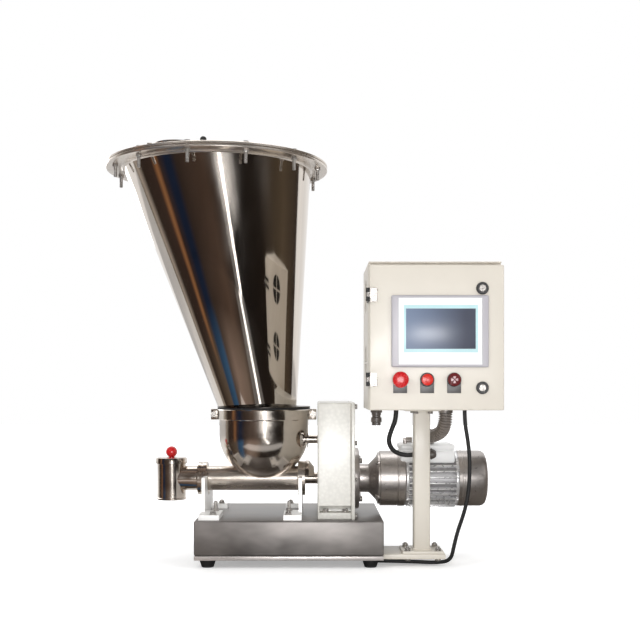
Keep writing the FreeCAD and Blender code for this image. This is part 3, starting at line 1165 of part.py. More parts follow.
def cable(name, points, diameter):
    """A plain round cable along its route, with its volume held against section times length."""
    path, smallest = rounded_path(points)
    radius = diameter.number / 2
    start = FreeCAD.Vector(*points[0])
    ring_edge = Part.makeCircle(radius, start, FreeCAD.Vector(*points[1]) - start)
    tube = path.makePipeShell([Part.Wire(ring_edge)], True, False)
    expected = math.pi * radius ** 2 * path.Length
    print(f"{name}: length {path.Length:.1f}, smallest radius {smallest:.1f}, "
          f"volume {tube.Volume:.0f} of {expected:.0f}")
    feature = doc.addObject("Part::Feature", name)
    feature.Shape = tube
    node(place(feature, 0, 0, 0), name)


def glands():
    """The empty gland under the cabinet, the grommets, and the glands on the terminal box."""
    low = cabinet_low
    empty = [hexagon("gland_hex", "Z", 14.5, (low - 7, low), GLAND_SPOT),
             rod("gland_body", "Z", 10, (low - 36, low - 6), GLAND_SPOT),
             rod("gland_thread", "Z", 8.5, (low - 1, low + 10), GLAND_SPOT)]
    bore = rod("gland_bore", "Z", 5.5, (low - 40, low + 12), GLAND_SPOT)
    pieces = [cut("gland_empty", fuse("gland_solid", *empty), bore)]
    for i, (points, size) in enumerate(((MOTOR_CABLE, s.motor_cable), (CELL_CABLE, s.cell_cable))):
        spot = points[0][:2]
        pieces.append(ring(f"grommet_{i}", "Z", size / 2 + 4, size / 2, (low - 3, low), spot))
    spot = CONDUIT[0][:2]
    pieces.append(ring("conduit_nut", "Z", s.conduit_size / 2 + 3, s.conduit_size / 2 + 0.3,
                       (low - 12, low), spot))
    x, y, z = MOTOR_CABLE[-1]
    elbow_x = x + 14
    motor_elbow = fuse("motor_elbow_solid",
                       hexagon("motor_elbow_hex", "Y", 14, (-s.box_half - 7, -s.box_half), (elbow_x, z)),
                       rod("motor_elbow_body", "Y", 9.5, (y, -s.box_half - 6), (elbow_x, z)),
                       ball("motor_elbow_turn", 9.5, (elbow_x, y, z)),
                       rod("motor_elbow_cap", "X", 9.5, (x - 4, elbow_x), (y, z)))
    pieces.append(cut("motor_elbow", motor_elbow,
                      rod("motor_elbow_bore", "X", s.motor_cable / 2 + 0.3, (x - 5, x + 3), (y, z))))
    box_top = axis_z + s.box_low + s.box_height
    end_x, end_y, end_z = CONDUIT[-1]
    turn_y = end_y + 15
    elbow = fuse("conduit_elbow_solid",
                 rod("conduit_elbow_drop", "Z", 12, (box_top, end_z), (end_x, turn_y)),
                 ball("conduit_elbow_turn", 12, (end_x, turn_y, end_z)),
                 rod("conduit_elbow_body", "Y", 12, (end_y, turn_y), (end_x, end_z)),
                 rod("conduit_elbow_nut", "Y", s.conduit_size / 2 + 3, (end_y - 8, end_y + 4), (end_x, end_z)),
                 hexagon("conduit_elbow_hex", "Z", 16, (box_top, box_top + 5), (end_x, turn_y)))
    pieces.append(cut("conduit_elbow", elbow,
                      rod("conduit_elbow_bore", "Y", s.conduit_size / 2 + 0.3, (end_y - 9, end_y + 2),
                          (end_x, end_z))))
    side_x = s.box_x + 14
    pieces.append(fuse("side_gland", rod("side_gland_drop", "Z", 5, (box_top, box_top + 12), (side_x, -20)),
                       hexagon("side_gland_hex", "X", 8, (side_x + 2, side_x + 17), (-20, box_top + 9)),
                       rod("side_gland_turn", "X", 5, (side_x - 5, side_x + 3), (-20, box_top + 9))))
    node(group("cable_glands", *pieces), "cable_glands")


def build():
    """Makes every sub-part."""
    for make in (platform, barrel, outlet, brackets, frame_bolts, bowl, bowl_clamp, hopper, lid, housing,
                 drive_bolts, gears, feed_screw, agitator, reducer, motor, terminal_box, post, cabinet,
                 door, controls, hinges, glands):
        make()
    cable("motor_cable", MOTOR_CABLE, s.motor_cable)
    cable("load_cell_cable", CELL_CABLE, s.cell_cable)
    cable("conduit", CONDUIT, s.conduit_size)


def export():
    """Checks every object and writes one STEP file for each sub-part."""
    doc.recompute()
    faulty = [obj.Name for obj in doc.Objects if "Invalid" in obj.State or "Error" in obj.State]
    for obj in NODES:
        if obj.Shape.isNull() or not obj.Shape.isValid() or not obj.Shape.Solids:
            faulty.append(obj.Label)
    if faulty:
        raise RuntimeError("objects that failed: " + ", ".join(faulty))
    os.makedirs("parts", exist_ok=True)
    for obj in NODES:
        obj.Shape.exportStep(f"parts/{obj.Label}.step")
    print(len(NODES), "sub-parts written")


build()
export()
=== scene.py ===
"""Looks of the loss-in-weight feeder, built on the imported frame: polished hopper and bowl, weighed
platform, hammered gear housing, ribbed motor, and the control cabinet on its post."""

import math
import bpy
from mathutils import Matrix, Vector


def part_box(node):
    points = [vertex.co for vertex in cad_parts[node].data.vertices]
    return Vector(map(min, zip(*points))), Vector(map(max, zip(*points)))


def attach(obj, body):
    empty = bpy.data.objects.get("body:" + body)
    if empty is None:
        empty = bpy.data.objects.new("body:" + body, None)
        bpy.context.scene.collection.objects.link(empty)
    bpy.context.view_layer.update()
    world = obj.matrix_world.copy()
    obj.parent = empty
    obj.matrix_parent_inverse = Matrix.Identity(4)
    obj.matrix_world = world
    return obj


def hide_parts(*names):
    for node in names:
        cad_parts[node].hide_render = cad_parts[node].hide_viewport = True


bl_info = {
    "name": "Loss-in-weight Feeder",
    "version": (1, 0, 0),
    "blender": (4, 5, 0),
    "location": "View3D > Sidebar > Feeder",
    "description": "Builds the feeder's polished, painted and moulded pieces on its frame",
    "category": "Add Mesh",
}

from types import SimpleNamespace

import bpy
from bpy.props import FloatProperty, FloatVectorProperty, PointerProperty
from mathutils import Vector

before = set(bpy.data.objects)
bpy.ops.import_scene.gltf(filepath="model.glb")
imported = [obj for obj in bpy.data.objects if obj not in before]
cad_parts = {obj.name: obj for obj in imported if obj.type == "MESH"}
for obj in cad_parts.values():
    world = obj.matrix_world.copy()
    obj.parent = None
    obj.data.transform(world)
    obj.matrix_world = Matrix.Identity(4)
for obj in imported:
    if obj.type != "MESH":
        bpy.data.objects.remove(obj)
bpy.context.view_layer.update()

# Camera fitted to the photo, in metres; its shift in the photo's pixels
PHOTO_SIDE = 640
CAMERA_SHIFT = (5, 65)
CAMERA_PLACE = (0.060, -2.465, 0.421)

# From here on lengths are millimetres, apart from the stage's. The modelling steps turn them into
# metres.
MM = 0.001
NEEDLE = 0.2  # radius that stands for a point on an axis
PAST = 10  # how far a cutter reaches past the sheet that it opens
CORNERS = ((-1, -1), (-1, 1), (1, -1), (1, 1))
MOTOR_CABLE_SIZE, CELL_CABLE_SIZE = 11, 9
LID_BOLTS, FINS, COWL_SLOTS, GLAND_CLAWS = 12, 30, 16, 9
VENT_HEIGHTS = (105, 255)  # over the cabinet's underside


def corners(node):
    """The lowest and the highest corner of a node's box at rest."""
    lowest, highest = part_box(node)
    return Vector(lowest) / MM, Vector(highest) / MM


def low(node):
    """The node's lowest corner at rest."""
    return corners(node)[0]


def high(node):
    """The node's highest corner at rest."""
    return corners(node)[1]


def middle(node):
    """The middle of a node's box."""
    return (low(node) + high(node)) / 2


AXIS = Vector((0, 0, middle("feed_screw").z))
BOWL = Vector((middle("hopper_gasket").x, 0, high("agitator_bowl").z - 62))
SPOUT = Vector((middle("spout_cap").x, 0, low("outlet_spout").z))
LID = Vector((middle("hopper_lid").x, 0, low("hopper_lid").z))
NECK = Vector((high("inlet_neck").x - 56, middle("inlet_neck").y, low("inlet_neck").z))
STIR = Vector((0, -50, AXIS.z + 98))


class FeederSizes(bpy.types.PropertyGroup):
    """Sizes of the pieces that the scene shapes itself."""

    rim_radius: FloatProperty(
        name="Rim radius", description="Outer radius of the hopper's rim and lid",
        default=(high("hopper_lid").x - LID.x) * MM, unit="LENGTH")
    cone_top: FloatProperty(
        name="Cone top radius", description="Radius of the hopper cone under its rim",
        default=229 * MM, unit="LENGTH")
    cone_low: FloatProperty(
        name="Cone low radius", description="Radius of the hopper cone at its outlet plate",
        default=97 * MM, unit="LENGTH")
    cone_low_x: FloatProperty(
        name="Cone low centre", description="Centre of the cone's lower end along X",
        default=-82 * MM, unit="LENGTH")
    bolt_circle: FloatProperty(
        name="Lid bolt circle", description="Radius of the circle that the lid bolts stand on",
        default=250 * MM, unit="LENGTH")
    bowl_radius: FloatProperty(
        name="Bowl radius", description="Outer radius of the agitator bowl",
        default=109.5 * MM, unit="LENGTH")
    barrel_radius: FloatProperty(
        name="Barrel radius", description="Outer radius of the feed barrel",
        default=30 * MM, unit="LENGTH")
    spout_radius: FloatProperty(
        name="Spout radius", description="Outer radius of the outlet spout",
        default=35 * MM, unit="LENGTH")
    edge_round: FloatProperty(
        name="Sheet edge", description="Rounding of folded sheet-metal edges",
        default=2 * MM, unit="LENGTH")
    post_side: FloatProperty(
        name="Post side", description="Width of the square post", default=38 * MM, unit="LENGTH")
    case_radius: FloatProperty(
        name="Reducer radius", description="Radius of the reducer's drum", default=67.5 * MM,
        unit="LENGTH")
    vent_radius: FloatProperty(
        name="Vent radius", description="Radius of the cabinet's side vents", default=38 * MM,
        unit="LENGTH")


class FeederColours(bpy.types.PropertyGroup):
    """Colours of the feeder's finishes."""

    steel: FloatVectorProperty(
        name="Polished steel", description="Tint of the polished stainless sheet",
        default=(0.66, 0.60, 0.54), subtype="COLOR", min=0, max=1)
    platform: FloatVectorProperty(
        name="Platform steel", description="Tint of the satin platform cover",
        default=(0.26, 0.240, 0.228), subtype="COLOR", min=0, max=1)
    cream: FloatVectorProperty(
        name="Cabinet paint", description="Cream powder coat of the cabinet and post",
        default=(0.69, 0.640, 0.560), subtype="COLOR", min=0, max=1)
    hammered: FloatVectorProperty(
        name="Housing paint", description="Hammered paint of the gear housing",
        default=(0.70, 0.680, 0.625), subtype="COLOR", min=0, max=1)
    silver: FloatVectorProperty(
        name="Drive paint", description="Silver lacquer of the reducer and fan cowl",
        default=(0.48, 0.445, 0.425), subtype="COLOR", min=0, max=1)
    red: FloatVectorProperty(
        name="Signal red", description="Red of the knob and the buttons",
        default=(0.62, 0.012, 0.015), subtype="COLOR", min=0, max=1)


def sizes(context):
    """The scene's sizes in millimetres."""
    group = context.scene.feeder_sizes
    return SimpleNamespace(**{name: getattr(group, name) / MM for name in group.__annotations__})


# Modelling steps

def start_clean():
    """Leaves edit mode and deselects everything."""
    if bpy.context.object and bpy.context.object.mode != "OBJECT":
        bpy.ops.object.mode_set(mode="OBJECT")
    bpy.ops.object.select_all(action="DESELECT")


def pick(obj):
    """Makes an object the active one and the only one selected."""
    start_clean()
    obj.select_set(True)
    bpy.context.view_layer.objects.active = obj


def settle(name):
    """Names the active object and puts its place into its mesh."""
    obj = bpy.context.object
    obj.name = name
    pick(obj)
    bpy.ops.object.transform_apply(location=True, rotation=True, scale=True)
    return obj


def edit_all(obj):
    """Opens an object's mesh with everything selected."""
    pick(obj)
    bpy.ops.object.mode_set(mode="EDIT")
    bpy.ops.mesh.select_mode(type="VERT")
    bpy.ops.mesh.select_all(action="SELECT")


def pick_vertices(obj, wanted):
    """Selects the vertices that wanted(co) picks, in metres, and leaves the mesh open."""
    edit_all(obj)
    bpy.ops.mesh.select_all(action="DESELECT")
    bpy.ops.object.mode_set(mode="OBJECT")
    for vertex in obj.data.vertices:
        vertex.select = wanted(vertex.co)
    bpy.ops.object.mode_set(mode="EDIT")


def scaled(obj, wanted, factors, centre):
    """Scales the vertices that wanted(co) picks about a centre."""
    pick_vertices(obj, lambda co: wanted(co / MM))
    bpy.ops.transform.resize(value=factors, center_override=Vector(centre) * MM)
    bpy.ops.object.mode_set(mode="OBJECT")
    return obj


def modifier(obj, kind, **settings):
    """Adds a modifier with its settings and applies it."""
    pick(obj)
    added = obj.modifiers.new(kind.title(), kind)
    for key, value in settings.items():
        setattr(added, key, value)
    bpy.ops.object.modifier_apply(modifier=added.name)
    return obj


def rounded(obj, width, segments=2):
    """Rounds an object's sharp edges."""
    return modifier(obj, "BEVEL", width=width * MM, segments=segments, limit_method="ANGLE",
                    angle_limit=math.radians(30), harden_normals=False)


def lathe(name, axis, centre, rings, segments=64, loop=False):
    """Turns a ring about an axis through a centre: rings are (radius, distance) or, where a ring
    stands aside, (radius, distance, shift). A loop joins the last ring to the first; otherwise the
    ends are closed."""
    index = "XYZ".index(axis)
    along = Vector([float(i == index) for i in range(3)])
    turn = {"X": (0, math.pi / 2, 0), "Y": (math.pi / 2, 0, 0), "Z": (0, 0, 0)}[axis]
    rings = [(max(ring[0], NEEDLE) * MM, ring[1] * MM,
              Vector(ring[2]) * MM if len(ring) > 2 else Vector()) for ring in rings]
    centre = Vector(centre) * MM
    start_clean()
    radius, distance, shift = rings[0]
    bpy.ops.mesh.primitive_circle_add(vertices=segments, radius=radius, rotation=turn,
                                      location=centre + along * distance + shift)
    obj = settle(name)
    edit_all(obj)
    for before, after in zip(rings, rings[1:]):
        step = along * (after[1] - before[1]) + after[2] - before[2]
        bpy.ops.mesh.extrude_region_move(TRANSFORM_OT_translate={"value": step})
        factor = after[0] / before[0]
        scale = [1.0 if i == index else factor for i in range(3)]
        bpy.ops.transform.resize(value=scale, center_override=centre + along * after[1] + after[2])
    if loop:
        bpy.ops.object.mode_set(mode="OBJECT")
        count = len(obj.data.vertices)
        for number, vertex in enumerate(obj.data.vertices):
            vertex.select = number < segments or number >= count - segments
        for edge in obj.data.edges:
            edge.select = all(obj.data.vertices[v].select for v in edge.vertices)
        bpy.ops.object.mode_set(mode="EDIT")
        bpy.ops.mesh.select_mode(type="EDGE")
        bpy.ops.mesh.bridge_edge_loops()
        bpy.ops.mesh.select_mode(type="VERT")
    else:
        bpy.ops.mesh.edge_face_add()
        bpy.ops.mesh.select_all(action="DESELECT")
        bpy.ops.object.mode_set(mode="OBJECT")
        for number, vertex in enumerate(obj.data.vertices):
            vertex.select = number < segments
        bpy.ops.object.mode_set(mode="EDIT")
        bpy.ops.mesh.edge_face_add()
    bpy.ops.mesh.select_all(action="SELECT")
    bpy.ops.mesh.normals_make_consistent(inside=False)
    bpy.ops.object.mode_set(mode="OBJECT")
    return obj


def ringed(name, axis, centre, rings, segments=64):
    """A turned piece that is open along its axis."""
    return lathe(name, axis, centre, rings, segments, loop=True)


def tube(name, axis, centre, outer, inner, ends, segments):
    """A plain open tube with softened rims."""
    return rounded(ringed(name, axis, centre, [(outer, ends[0]), (outer, ends[1]), (inner, ends[1]),
                                               (inner, ends[0])], segments), 0.6)


def box(name, lowest, highest, edge=1, segments=3):
    """A box between two corners with rounded edges."""
    lowest, highest = Vector(lowest) * MM, Vector(highest) * MM
    start_clean()
    bpy.ops.mesh.primitive_cube_add(size=1, location=(lowest + highest) / 2, scale=highest - lowest)
    obj = settle(name)
    return rounded(obj, edge, segments) if edge else obj


def hexagon(name, axis, centre, radius, ends, edge=0.8):
    """A hexagonal head or nut with a chamfered crown."""
    return rounded(lathe(name, axis, centre, [(radius, ends[0]), (radius, ends[1])], 6), edge)


def ball(name, centre, radius, segments=40, rings=24):
    """A ball, flattened a little at its foot."""
    start_clean()
    bpy.ops.mesh.primitive_uv_sphere_add(segments=segments, ring_count=rings, radius=radius * MM,
                                         location=Vector(centre) * MM)
    obj = settle(name)
    foot = Vector(centre).z - radius * 0.94
    return scaled(obj, lambda co: co.z < foot, (1, 1, 0), (0, 0, foot))


def copied(obj, shift, name):
    """A copy of a piece with its own mesh, moved by a step."""
    pick(obj)
    bpy.ops.object.duplicate(linked=False)
    bpy.ops.transform.translate(value=Vector(shift) * MM)
    return settle(name)


def turned_copy(obj, angle, axis, centre, name):
    """A copy of a piece with its own mesh, turned about an axis through a centre."""
    copy = copied(obj, (0, 0, 0), name)
    edit_all(copy)
    bpy.ops.transform.rotate(value=angle, orient_axis=axis, center_override=Vector(centre) * MM)
    bpy.ops.object.mode_set(mode="OBJECT")
    return copy


def turned_copies(obj, count, axis, centre, way=1):
    """A piece and its copies in even steps of a full turn."""
    return [obj] + [turned_copy(obj, way * i * 2 * math.pi / count, axis, centre, f"{obj.name}_{i}")
                    for i in range(1, count)]


def joined(name, *parts):
    """One object from several."""
    pick(parts[0])
    for part in parts[1:]:
        part.select_set(True)
    if len(parts) > 1:
        bpy.ops.object.join()
    parts[0].name = name
    return parts[0]


def cut_with(obj, *cutters):
    """Takes each cutter out of an object and removes the cutters."""
    for cutter in cutters:
        modifier(obj, "BOOLEAN", object=cutter, operation="DIFFERENCE", solver="EXACT")
        bpy.data.objects.remove(cutter, do_unlink=True)
    return obj


def halved(obj, point, normal):
    """Keeps the side of an object that a plane's normal points away from."""
    edit_all(obj)
    bpy.ops.mesh.bisect(plane_co=Vector(point) * MM, plane_no=normal, use_fill=True,
                        clear_outer=True)
    bpy.ops.object.mode_set(mode="OBJECT")
    return obj


def coat(mesh, finish):
    """Gives a mesh or curve its one finish."""
    mesh.materials.clear()
    mesh.materials.append(FINISH[finish])


def finished(obj, finish, body, *nodes, smooth=32):
    """Shades a piece, gives it its finish and hands it to the body it rides on."""
    pick(obj)
    if obj.type == "MESH":
        bpy.ops.object.shade_smooth_by_angle(angle=math.radians(smooth))
    coat(obj.data, finish)
    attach(obj, body)
    if nodes:
        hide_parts(*nodes)
    return obj


def dress(finish, *nodes):
    """Gives CAD nodes that stay in view their finish."""
    for name in nodes:
        coat(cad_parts[name].data, finish)


# Finishes

def wire(tree, node, inputs):
    """Links a node's inputs to sockets, or sets them to plain values."""
    for key, value in inputs.items():
        if isinstance(value, bpy.types.NodeSocket):
            tree.links.new(value, node.inputs[key])
        else:
            node.inputs[key].default_value = value


def add(tree, kind, inputs, output, **settings):
    """A new node with its settings and inputs; gives one of its outputs."""
    node = tree.nodes.new("ShaderNode" + kind)
    for key, value in settings.items():
        setattr(node, key, value)
    wire(tree, node, inputs)
    return node.outputs[output]


def new_finish(name):
    """A new node material with its tree and shader."""
    made = bpy.data.materials.new(name)
    made.use_nodes = True
    return made, made.node_tree, made.node_tree.nodes["Principled BSDF"]


def object_place(tree):
    """The object's own coordinates."""
    return add(tree, "TexCoord", {}, "Object")


def noise(tree, scale, stretch=(1, 1, 1), detail=3.0):
    """A noise pattern on the object's own coordinates."""
    place = add(tree, "Mapping", {"Vector": object_place(tree), "Scale": stretch}, "Vector")
    return add(tree, "TexNoise", {"Vector": place, "Scale": scale, "Detail": detail,
                                  "Roughness": 0.55}, "Fac")


def ranged(tree, value, lowest, highest, start=0.3, end=0.7):
    """A pattern's value brought between two numbers."""
    return add(tree, "MapRange", {"Value": value, "From Min": start, "From Max": end,
                                  "To Min": lowest, "To Max": highest}, "Result")


def ramped(tree, value, stops):
    """A colour that follows a value through (position, colour) stops."""
    colour = add(tree, "ValToRGB", {"Fac": value}, "Color")
    points = colour.node.color_ramp.elements
    for number, (position, shade) in enumerate(stops):
        point = points[number] if number < 2 else points.new(position)
        point.position, point.color = position, (*shade, 1)
    return colour


def blended(tree, value, first, second, start=0.3, end=0.7):
    """A colour that follows a pattern from one to another."""
    return ramped(tree, value, ((start, first), (end, second)))


def bumped(tree, height, strength, distance):
    """A fine relief from a pattern."""
    return add(tree, "Bump", {"Height": height, "Strength": strength, "Distance": distance},
               "Normal")


def reach(tree):
    """The distance from the object's origin, in metres."""
    return add(tree, "VectorMath", {0: object_place(tree)}, "Value", operation="LENGTH")


def tinted(colour, factor):
    """A colour made lighter or darker."""
    return tuple(min(1.0, part * factor) for part in colour)


def metal(name, colour, rough, grain, scale, spread, relief, contrast, sheen=1.0):
    """Metal with a drawn, cast or polished grain; less sheen lets more of its own grey through."""
    made, tree, shader = new_finish(name)
    pattern = noise(tree, scale, grain)
    wire(tree, shader, {
        "Metallic": sheen, "Roughness": ranged(tree, pattern, rough - spread, rough + spread),
        "Base Color": blended(tree, pattern, tinted(colour, 1 - contrast),
                              tinted(colour, 1 + contrast))})
    if relief:
        wire(tree, shader, {"Normal": bumped(tree, pattern, relief, 0.0004)})
    return made


def paint(name, colour, rough, scale, relief, distance, contrast, lacquer=0.0):
    """Painted or moulded surface with a fine skin and a faint change of tone."""
    made, tree, shader = new_finish(name)
    skin, tone = noise(tree, scale, detail=2.0), noise(tree, 6, detail=4.0)
    wire(tree, shader, {
        "Coat Weight": lacquer, "Coat Roughness": 0.1,
        "Roughness": ranged(tree, skin, rough - 0.05, rough + 0.05),
        "Base Color": blended(tree, tone, tinted(colour, 1 - 2 * contrast),
                              tinted(colour, 1 + contrast)),
        "Normal": bumped(tree, skin, relief, distance)})
    return made


def hammered(name, colour):
    """Hammered enamel: soft dimples with a darker tone in their hollows."""
    made, tree, shader = new_finish(name)
    cells = add(tree, "TexVoronoi", {"Vector": object_place(tree)}, "Distance", feature="SMOOTH_F1")
    wire(tree, cells.node, {"Scale": 130, "Smoothness": 0.6})
    wire(tree, shader, {
        "Coat Weight": 0.35, "Coat Roughness": 0.15, "Roughness": 0.36,
        "Base Color": blended(tree, cells, tinted(colour, 1.03), tinted(colour, 0.92), 0.1, 0.75),
        "Normal": bumped(tree, cells, 0.3, 0.0008)})
    return made


def screen_glass(name):
    """Blue-grey display, paler towards its left side."""
    made, tree, shader = new_finish(name)
    across = add(tree, "SeparateXYZ", {"Vector": object_place(tree)}, "X")
    side = ranged(tree, across, 0.0, 1.0, 0.25, 0.41)
    shade = add(tree, "Math", {0: noise(tree, 9, (1, 1, 0.6), 2.0), 1: 0.25, 2: side}, 0,
                operation="MULTIPLY_ADD")
    wire(tree, shader, {"Roughness": 0.3, "Base Color": blended(
        tree, shade, (0.20, 0.255, 0.37), (0.075, 0.082, 0.115), 0.1, 1.0)})
    return made


# Upright tones of the dark room by azimuth in degrees, 0 straight ahead of the feeder: CLOSE on the
# floor near it, FAR on the rest of the floor and on the wall
CLOSE = ((-113, (0.12, 0.095, 0.075)), (-106, (0.42, 0.37, 0.32)), (-98, (0.04, 0.028, 0.022)),
         (-84, (0.085, 0.062, 0.045)), (-68, (0.13, 0.10, 0.075)), (-63, (0.03, 0.07, 0.14)),
         (-50, (0.05, 0.12, 0.23)), (-44, (0.10, 0.075, 0.062)), (-30, (0.26, 0.19, 0.155)),
         (-8, (0.20, 0.15, 0.12)), (6, (0.03, 0.022, 0.018)), (48, (0.02, 0.015, 0.012)),
         (85, (0.10, 0.075, 0.05)), (117, (0.04, 0.03, 0.025)))
FAR = ((-113, (0.12, 0.095, 0.075)), (-106, (0.42, 0.37, 0.32)), (-98, (0.04, 0.028, 0.022)),
       (-80, (0.05, 0.032, 0.026)), (-74, (0.36, 0.17, 0.075)), (-69, (0.05, 0.032, 0.026)),
       (-60, (0.012, 0.020, 0.046)), (-54, (0.012, 0.020, 0.046)), (-47, (0.040, 0.028, 0.023)),
       (-15, (0.085, 0.055, 0.04)), (8, (0.012, 0.010, 0.009)), (48, (0.02, 0.015, 0.012)),
       (85, (0.10, 0.075, 0.05)), (117, (0.04, 0.03, 0.025)))


def room_shade(name):
    """Dark room tones in bands round the hopper, for polished sheet to mirror."""
    made, tree, shader = new_finish(name)
    place = add(tree, "Mapping", {"Vector": object_place(tree), "Rotation": (0, 0, math.pi / 2)},
                "Vector")
    turn = add(tree, "TexGradient", {"Vector": place}, "Fac", gradient_type="RADIAL")
    close, far = (ramped(tree, turn, [((angle + 180) / 360, tone) for angle, tone in bands])
                  for bands in (CLOSE, FAR))
    mix = tree.nodes.new("ShaderNodeMix")
    mix.data_type = "RGBA"
    wire(tree, mix, {"Factor": ranged(tree, reach(tree), 0.0, 1.0, 0.95, 1.5),
                     "A": close, "B": far})
    wire(tree, shader, {"Roughness": 0.9, "Specular IOR Level": 0.0,
                        "Base Color": mix.outputs["Result"]})
    return made


FINISH = {}


def make_finishes(colours):
    """Every finish of the feeder, by name."""
    steel, dark = tuple(colours.steel), tuple(colours.platform)
    silver, cream = tuple(colours.silver), tuple(colours.cream)
    even = (1, 1, 1)
    FINISH.update(
        mirror=metal("PolishedSteel", steel, 0.075, (1, 1, 0.08), 26, 0.03, 0.03, 0.08),
        turned=metal("TurnedSteel", tinted(steel, 1.08), 0.155, even, 30, 0.05, 0.06, 0.08),
        # painted shade: the outlet plate's steel is darkened to near black to stand for the dark
        # band under the hopper
        flange=metal("OutletSteelPaintedShade", tinted(steel, 0.12), 0.25, even, 60, 0.05, 0.05, 0.15),
        rim=metal("RimSteel", tinted(steel, 1.12), 0.26, even, 14, 0.03, 0.0, 0.04, 0.9),
        drawn=metal("DrawnTube", tinted(steel, 1.12), 0.24, (0.15, 1, 1), 60, 0.05,
                    0.05, 0.10, 0.95),
        satin=metal("SatinSteel", (0.93, 0.92, 0.90), 0.38, (1, 1, 0.2), 90, 0.06, 0.06, 0.04, 0.3),
        platform=metal("PlatformSteel", tinted(dark, 0.8), 0.37, (0.5, 1, 1), 12,
                       0.06, 0.0, 0.42, 0.65),
        brushed=metal("BrushedSteel", (0.62, 0.575, 0.55), 0.32, (0.1, 1, 1), 120,
                      0.06, 0.15, 0.1, 0.5),
        bolt=metal("BoltSteel", (0.50, 0.475, 0.45), 0.28, even, 70, 0.05, 0.02, 0.10, 0.75),
        gear=metal("GearSteel", (0.42, 0.42, 0.43), 0.32, (1, 0.2, 1), 150, 0.07, 0.2, 0.12),
        fins=metal("CastAluminium", (0.74, 0.735, 0.74), 0.30, even, 120, 0.06, 0.06, 0.06, 0.6),
        # painted shade: the fins' cast aluminium darkened for the core that shows between the fins
        core=metal("FinGapPaintedShade", (0.30, 0.295, 0.30), 0.4, even, 120, 0.06, 0.06, 0.06, 0.6),
        silver=metal("SilverLacquer", silver, 0.31, even, 160, 0.04, 0.05, 0.06, 0.86),
        cream=paint("CreamPaint", cream, 0.42, 650, 0.12, 0.00015, 0.02, 0.12),
        hammered=hammered("HammeredPaint", tuple(colours.hammered)),
        rubber=paint("BlackRubber", (0.016, 0.016, 0.017), 0.62, 500, 0.2, 0.0002, 0.1),
        black=paint("BlackPlastic", (0.018, 0.018, 0.019), 0.42, 800, 0.12, 0.0001, 0.08),
        white=paint("WhitePlastic", (0.93, 0.93, 0.93), 0.4, 800, 0.08, 0.0001, 0.01, 0.1),
        bezel=paint("BezelGrey", (0.46, 0.44, 0.475), 0.4, 600, 0.06, 0.0001, 0.03),
        petal=paint("LampFacet", (0.62, 0.40, 0.42), 0.3, 300, 0.05, 0.0001, 0.1, 0.4),
        red=paint("RedPlastic", tuple(colours.red), 0.26, 300, 0.04, 0.0001, 0.08, 0.5),
        lens=paint("RedLens", (0.72, 0.03, 0.02), 0.15, 300, 0.03, 0.0001, 0.12, 0.7),
        lamp=paint("MaroonLens", (0.16, 0.022, 0.024), 0.2, 120, 0.3, 0.0004, 0.3, 0.6),
        plate=paint("LegendPlate", (0.075, 0.070, 0.070), 0.35, 600, 0.06, 0.0001, 0.05),
        frost=paint("FrostedFrame", (0.56, 0.80, 0.83), 0.3, 600, 0.05, 0.0001, 0.03, 0.2),
        conduit=paint("ConduitSkin", (0.25, 0.215, 0.19), 0.42, 300, 0.1, 0.0002, 0.1, 0.15),
        gland=paint("GlandGrey", (0.10, 0.085, 0.075), 0.4, 300, 0.1, 0.0002, 0.1, 0.2),
        glass=screen_glass("DisplayGlass"),
    )


# Cables and conduit: each route stays a list of given points

MOTOR_CABLE = [(252, -100, 367), (252, -100, 341), (240.5, -97, 314), (233, -94, 287),
    (246, -86, 263), (272, -80.5, 253.5), (298, -80, 255), (326, -80, 255)]
CELL_CABLE = [(399, -200, 367), (399, -200, 338), (406, -197, 300), (411, -194, 262),
    (412, -190, 225), (411, -185, 188), (407, -178, 152), (399, -170, 118), (389, -162, 86),
    (381, -156, 50), (375, -146, 14), (344, -132, 6.5), (292, -120, 7), (240, -109, 6.5),
    (174, -104, 7), (173, -101, 67), (113, -12, 66), (75, -12, 66)]
CONDUIT = [(369, -99, 361), (369, -99, 332), (362, -87, 310), (347, -67, 299.5), (337, -48, 298),
    (337, -29, 298)]


def route_curve(name, points, radius=0.0):
    """A smooth curve with the route's points as its control points."""
    curve = bpy.data.curves.new(name, "CURVE")
    curve.dimensions = "3D"
    curve.resolution_u = 10
    curve.bevel_depth = radius * MM
    curve.bevel_resolution = 5
    curve.use_fill_caps = True
    spline = curve.splines.new("NURBS")
    spline.points.add(len(points) - 1)
    for point, place in zip(spline.points, points):
        point.co = (*(Vector(place) * MM), 1)
    spline.order_u = 3
    spline.use_endpoint_u = True
    obj = bpy.data.objects.new(name, curve)
    bpy.context.collection.objects.link(obj)
    return obj


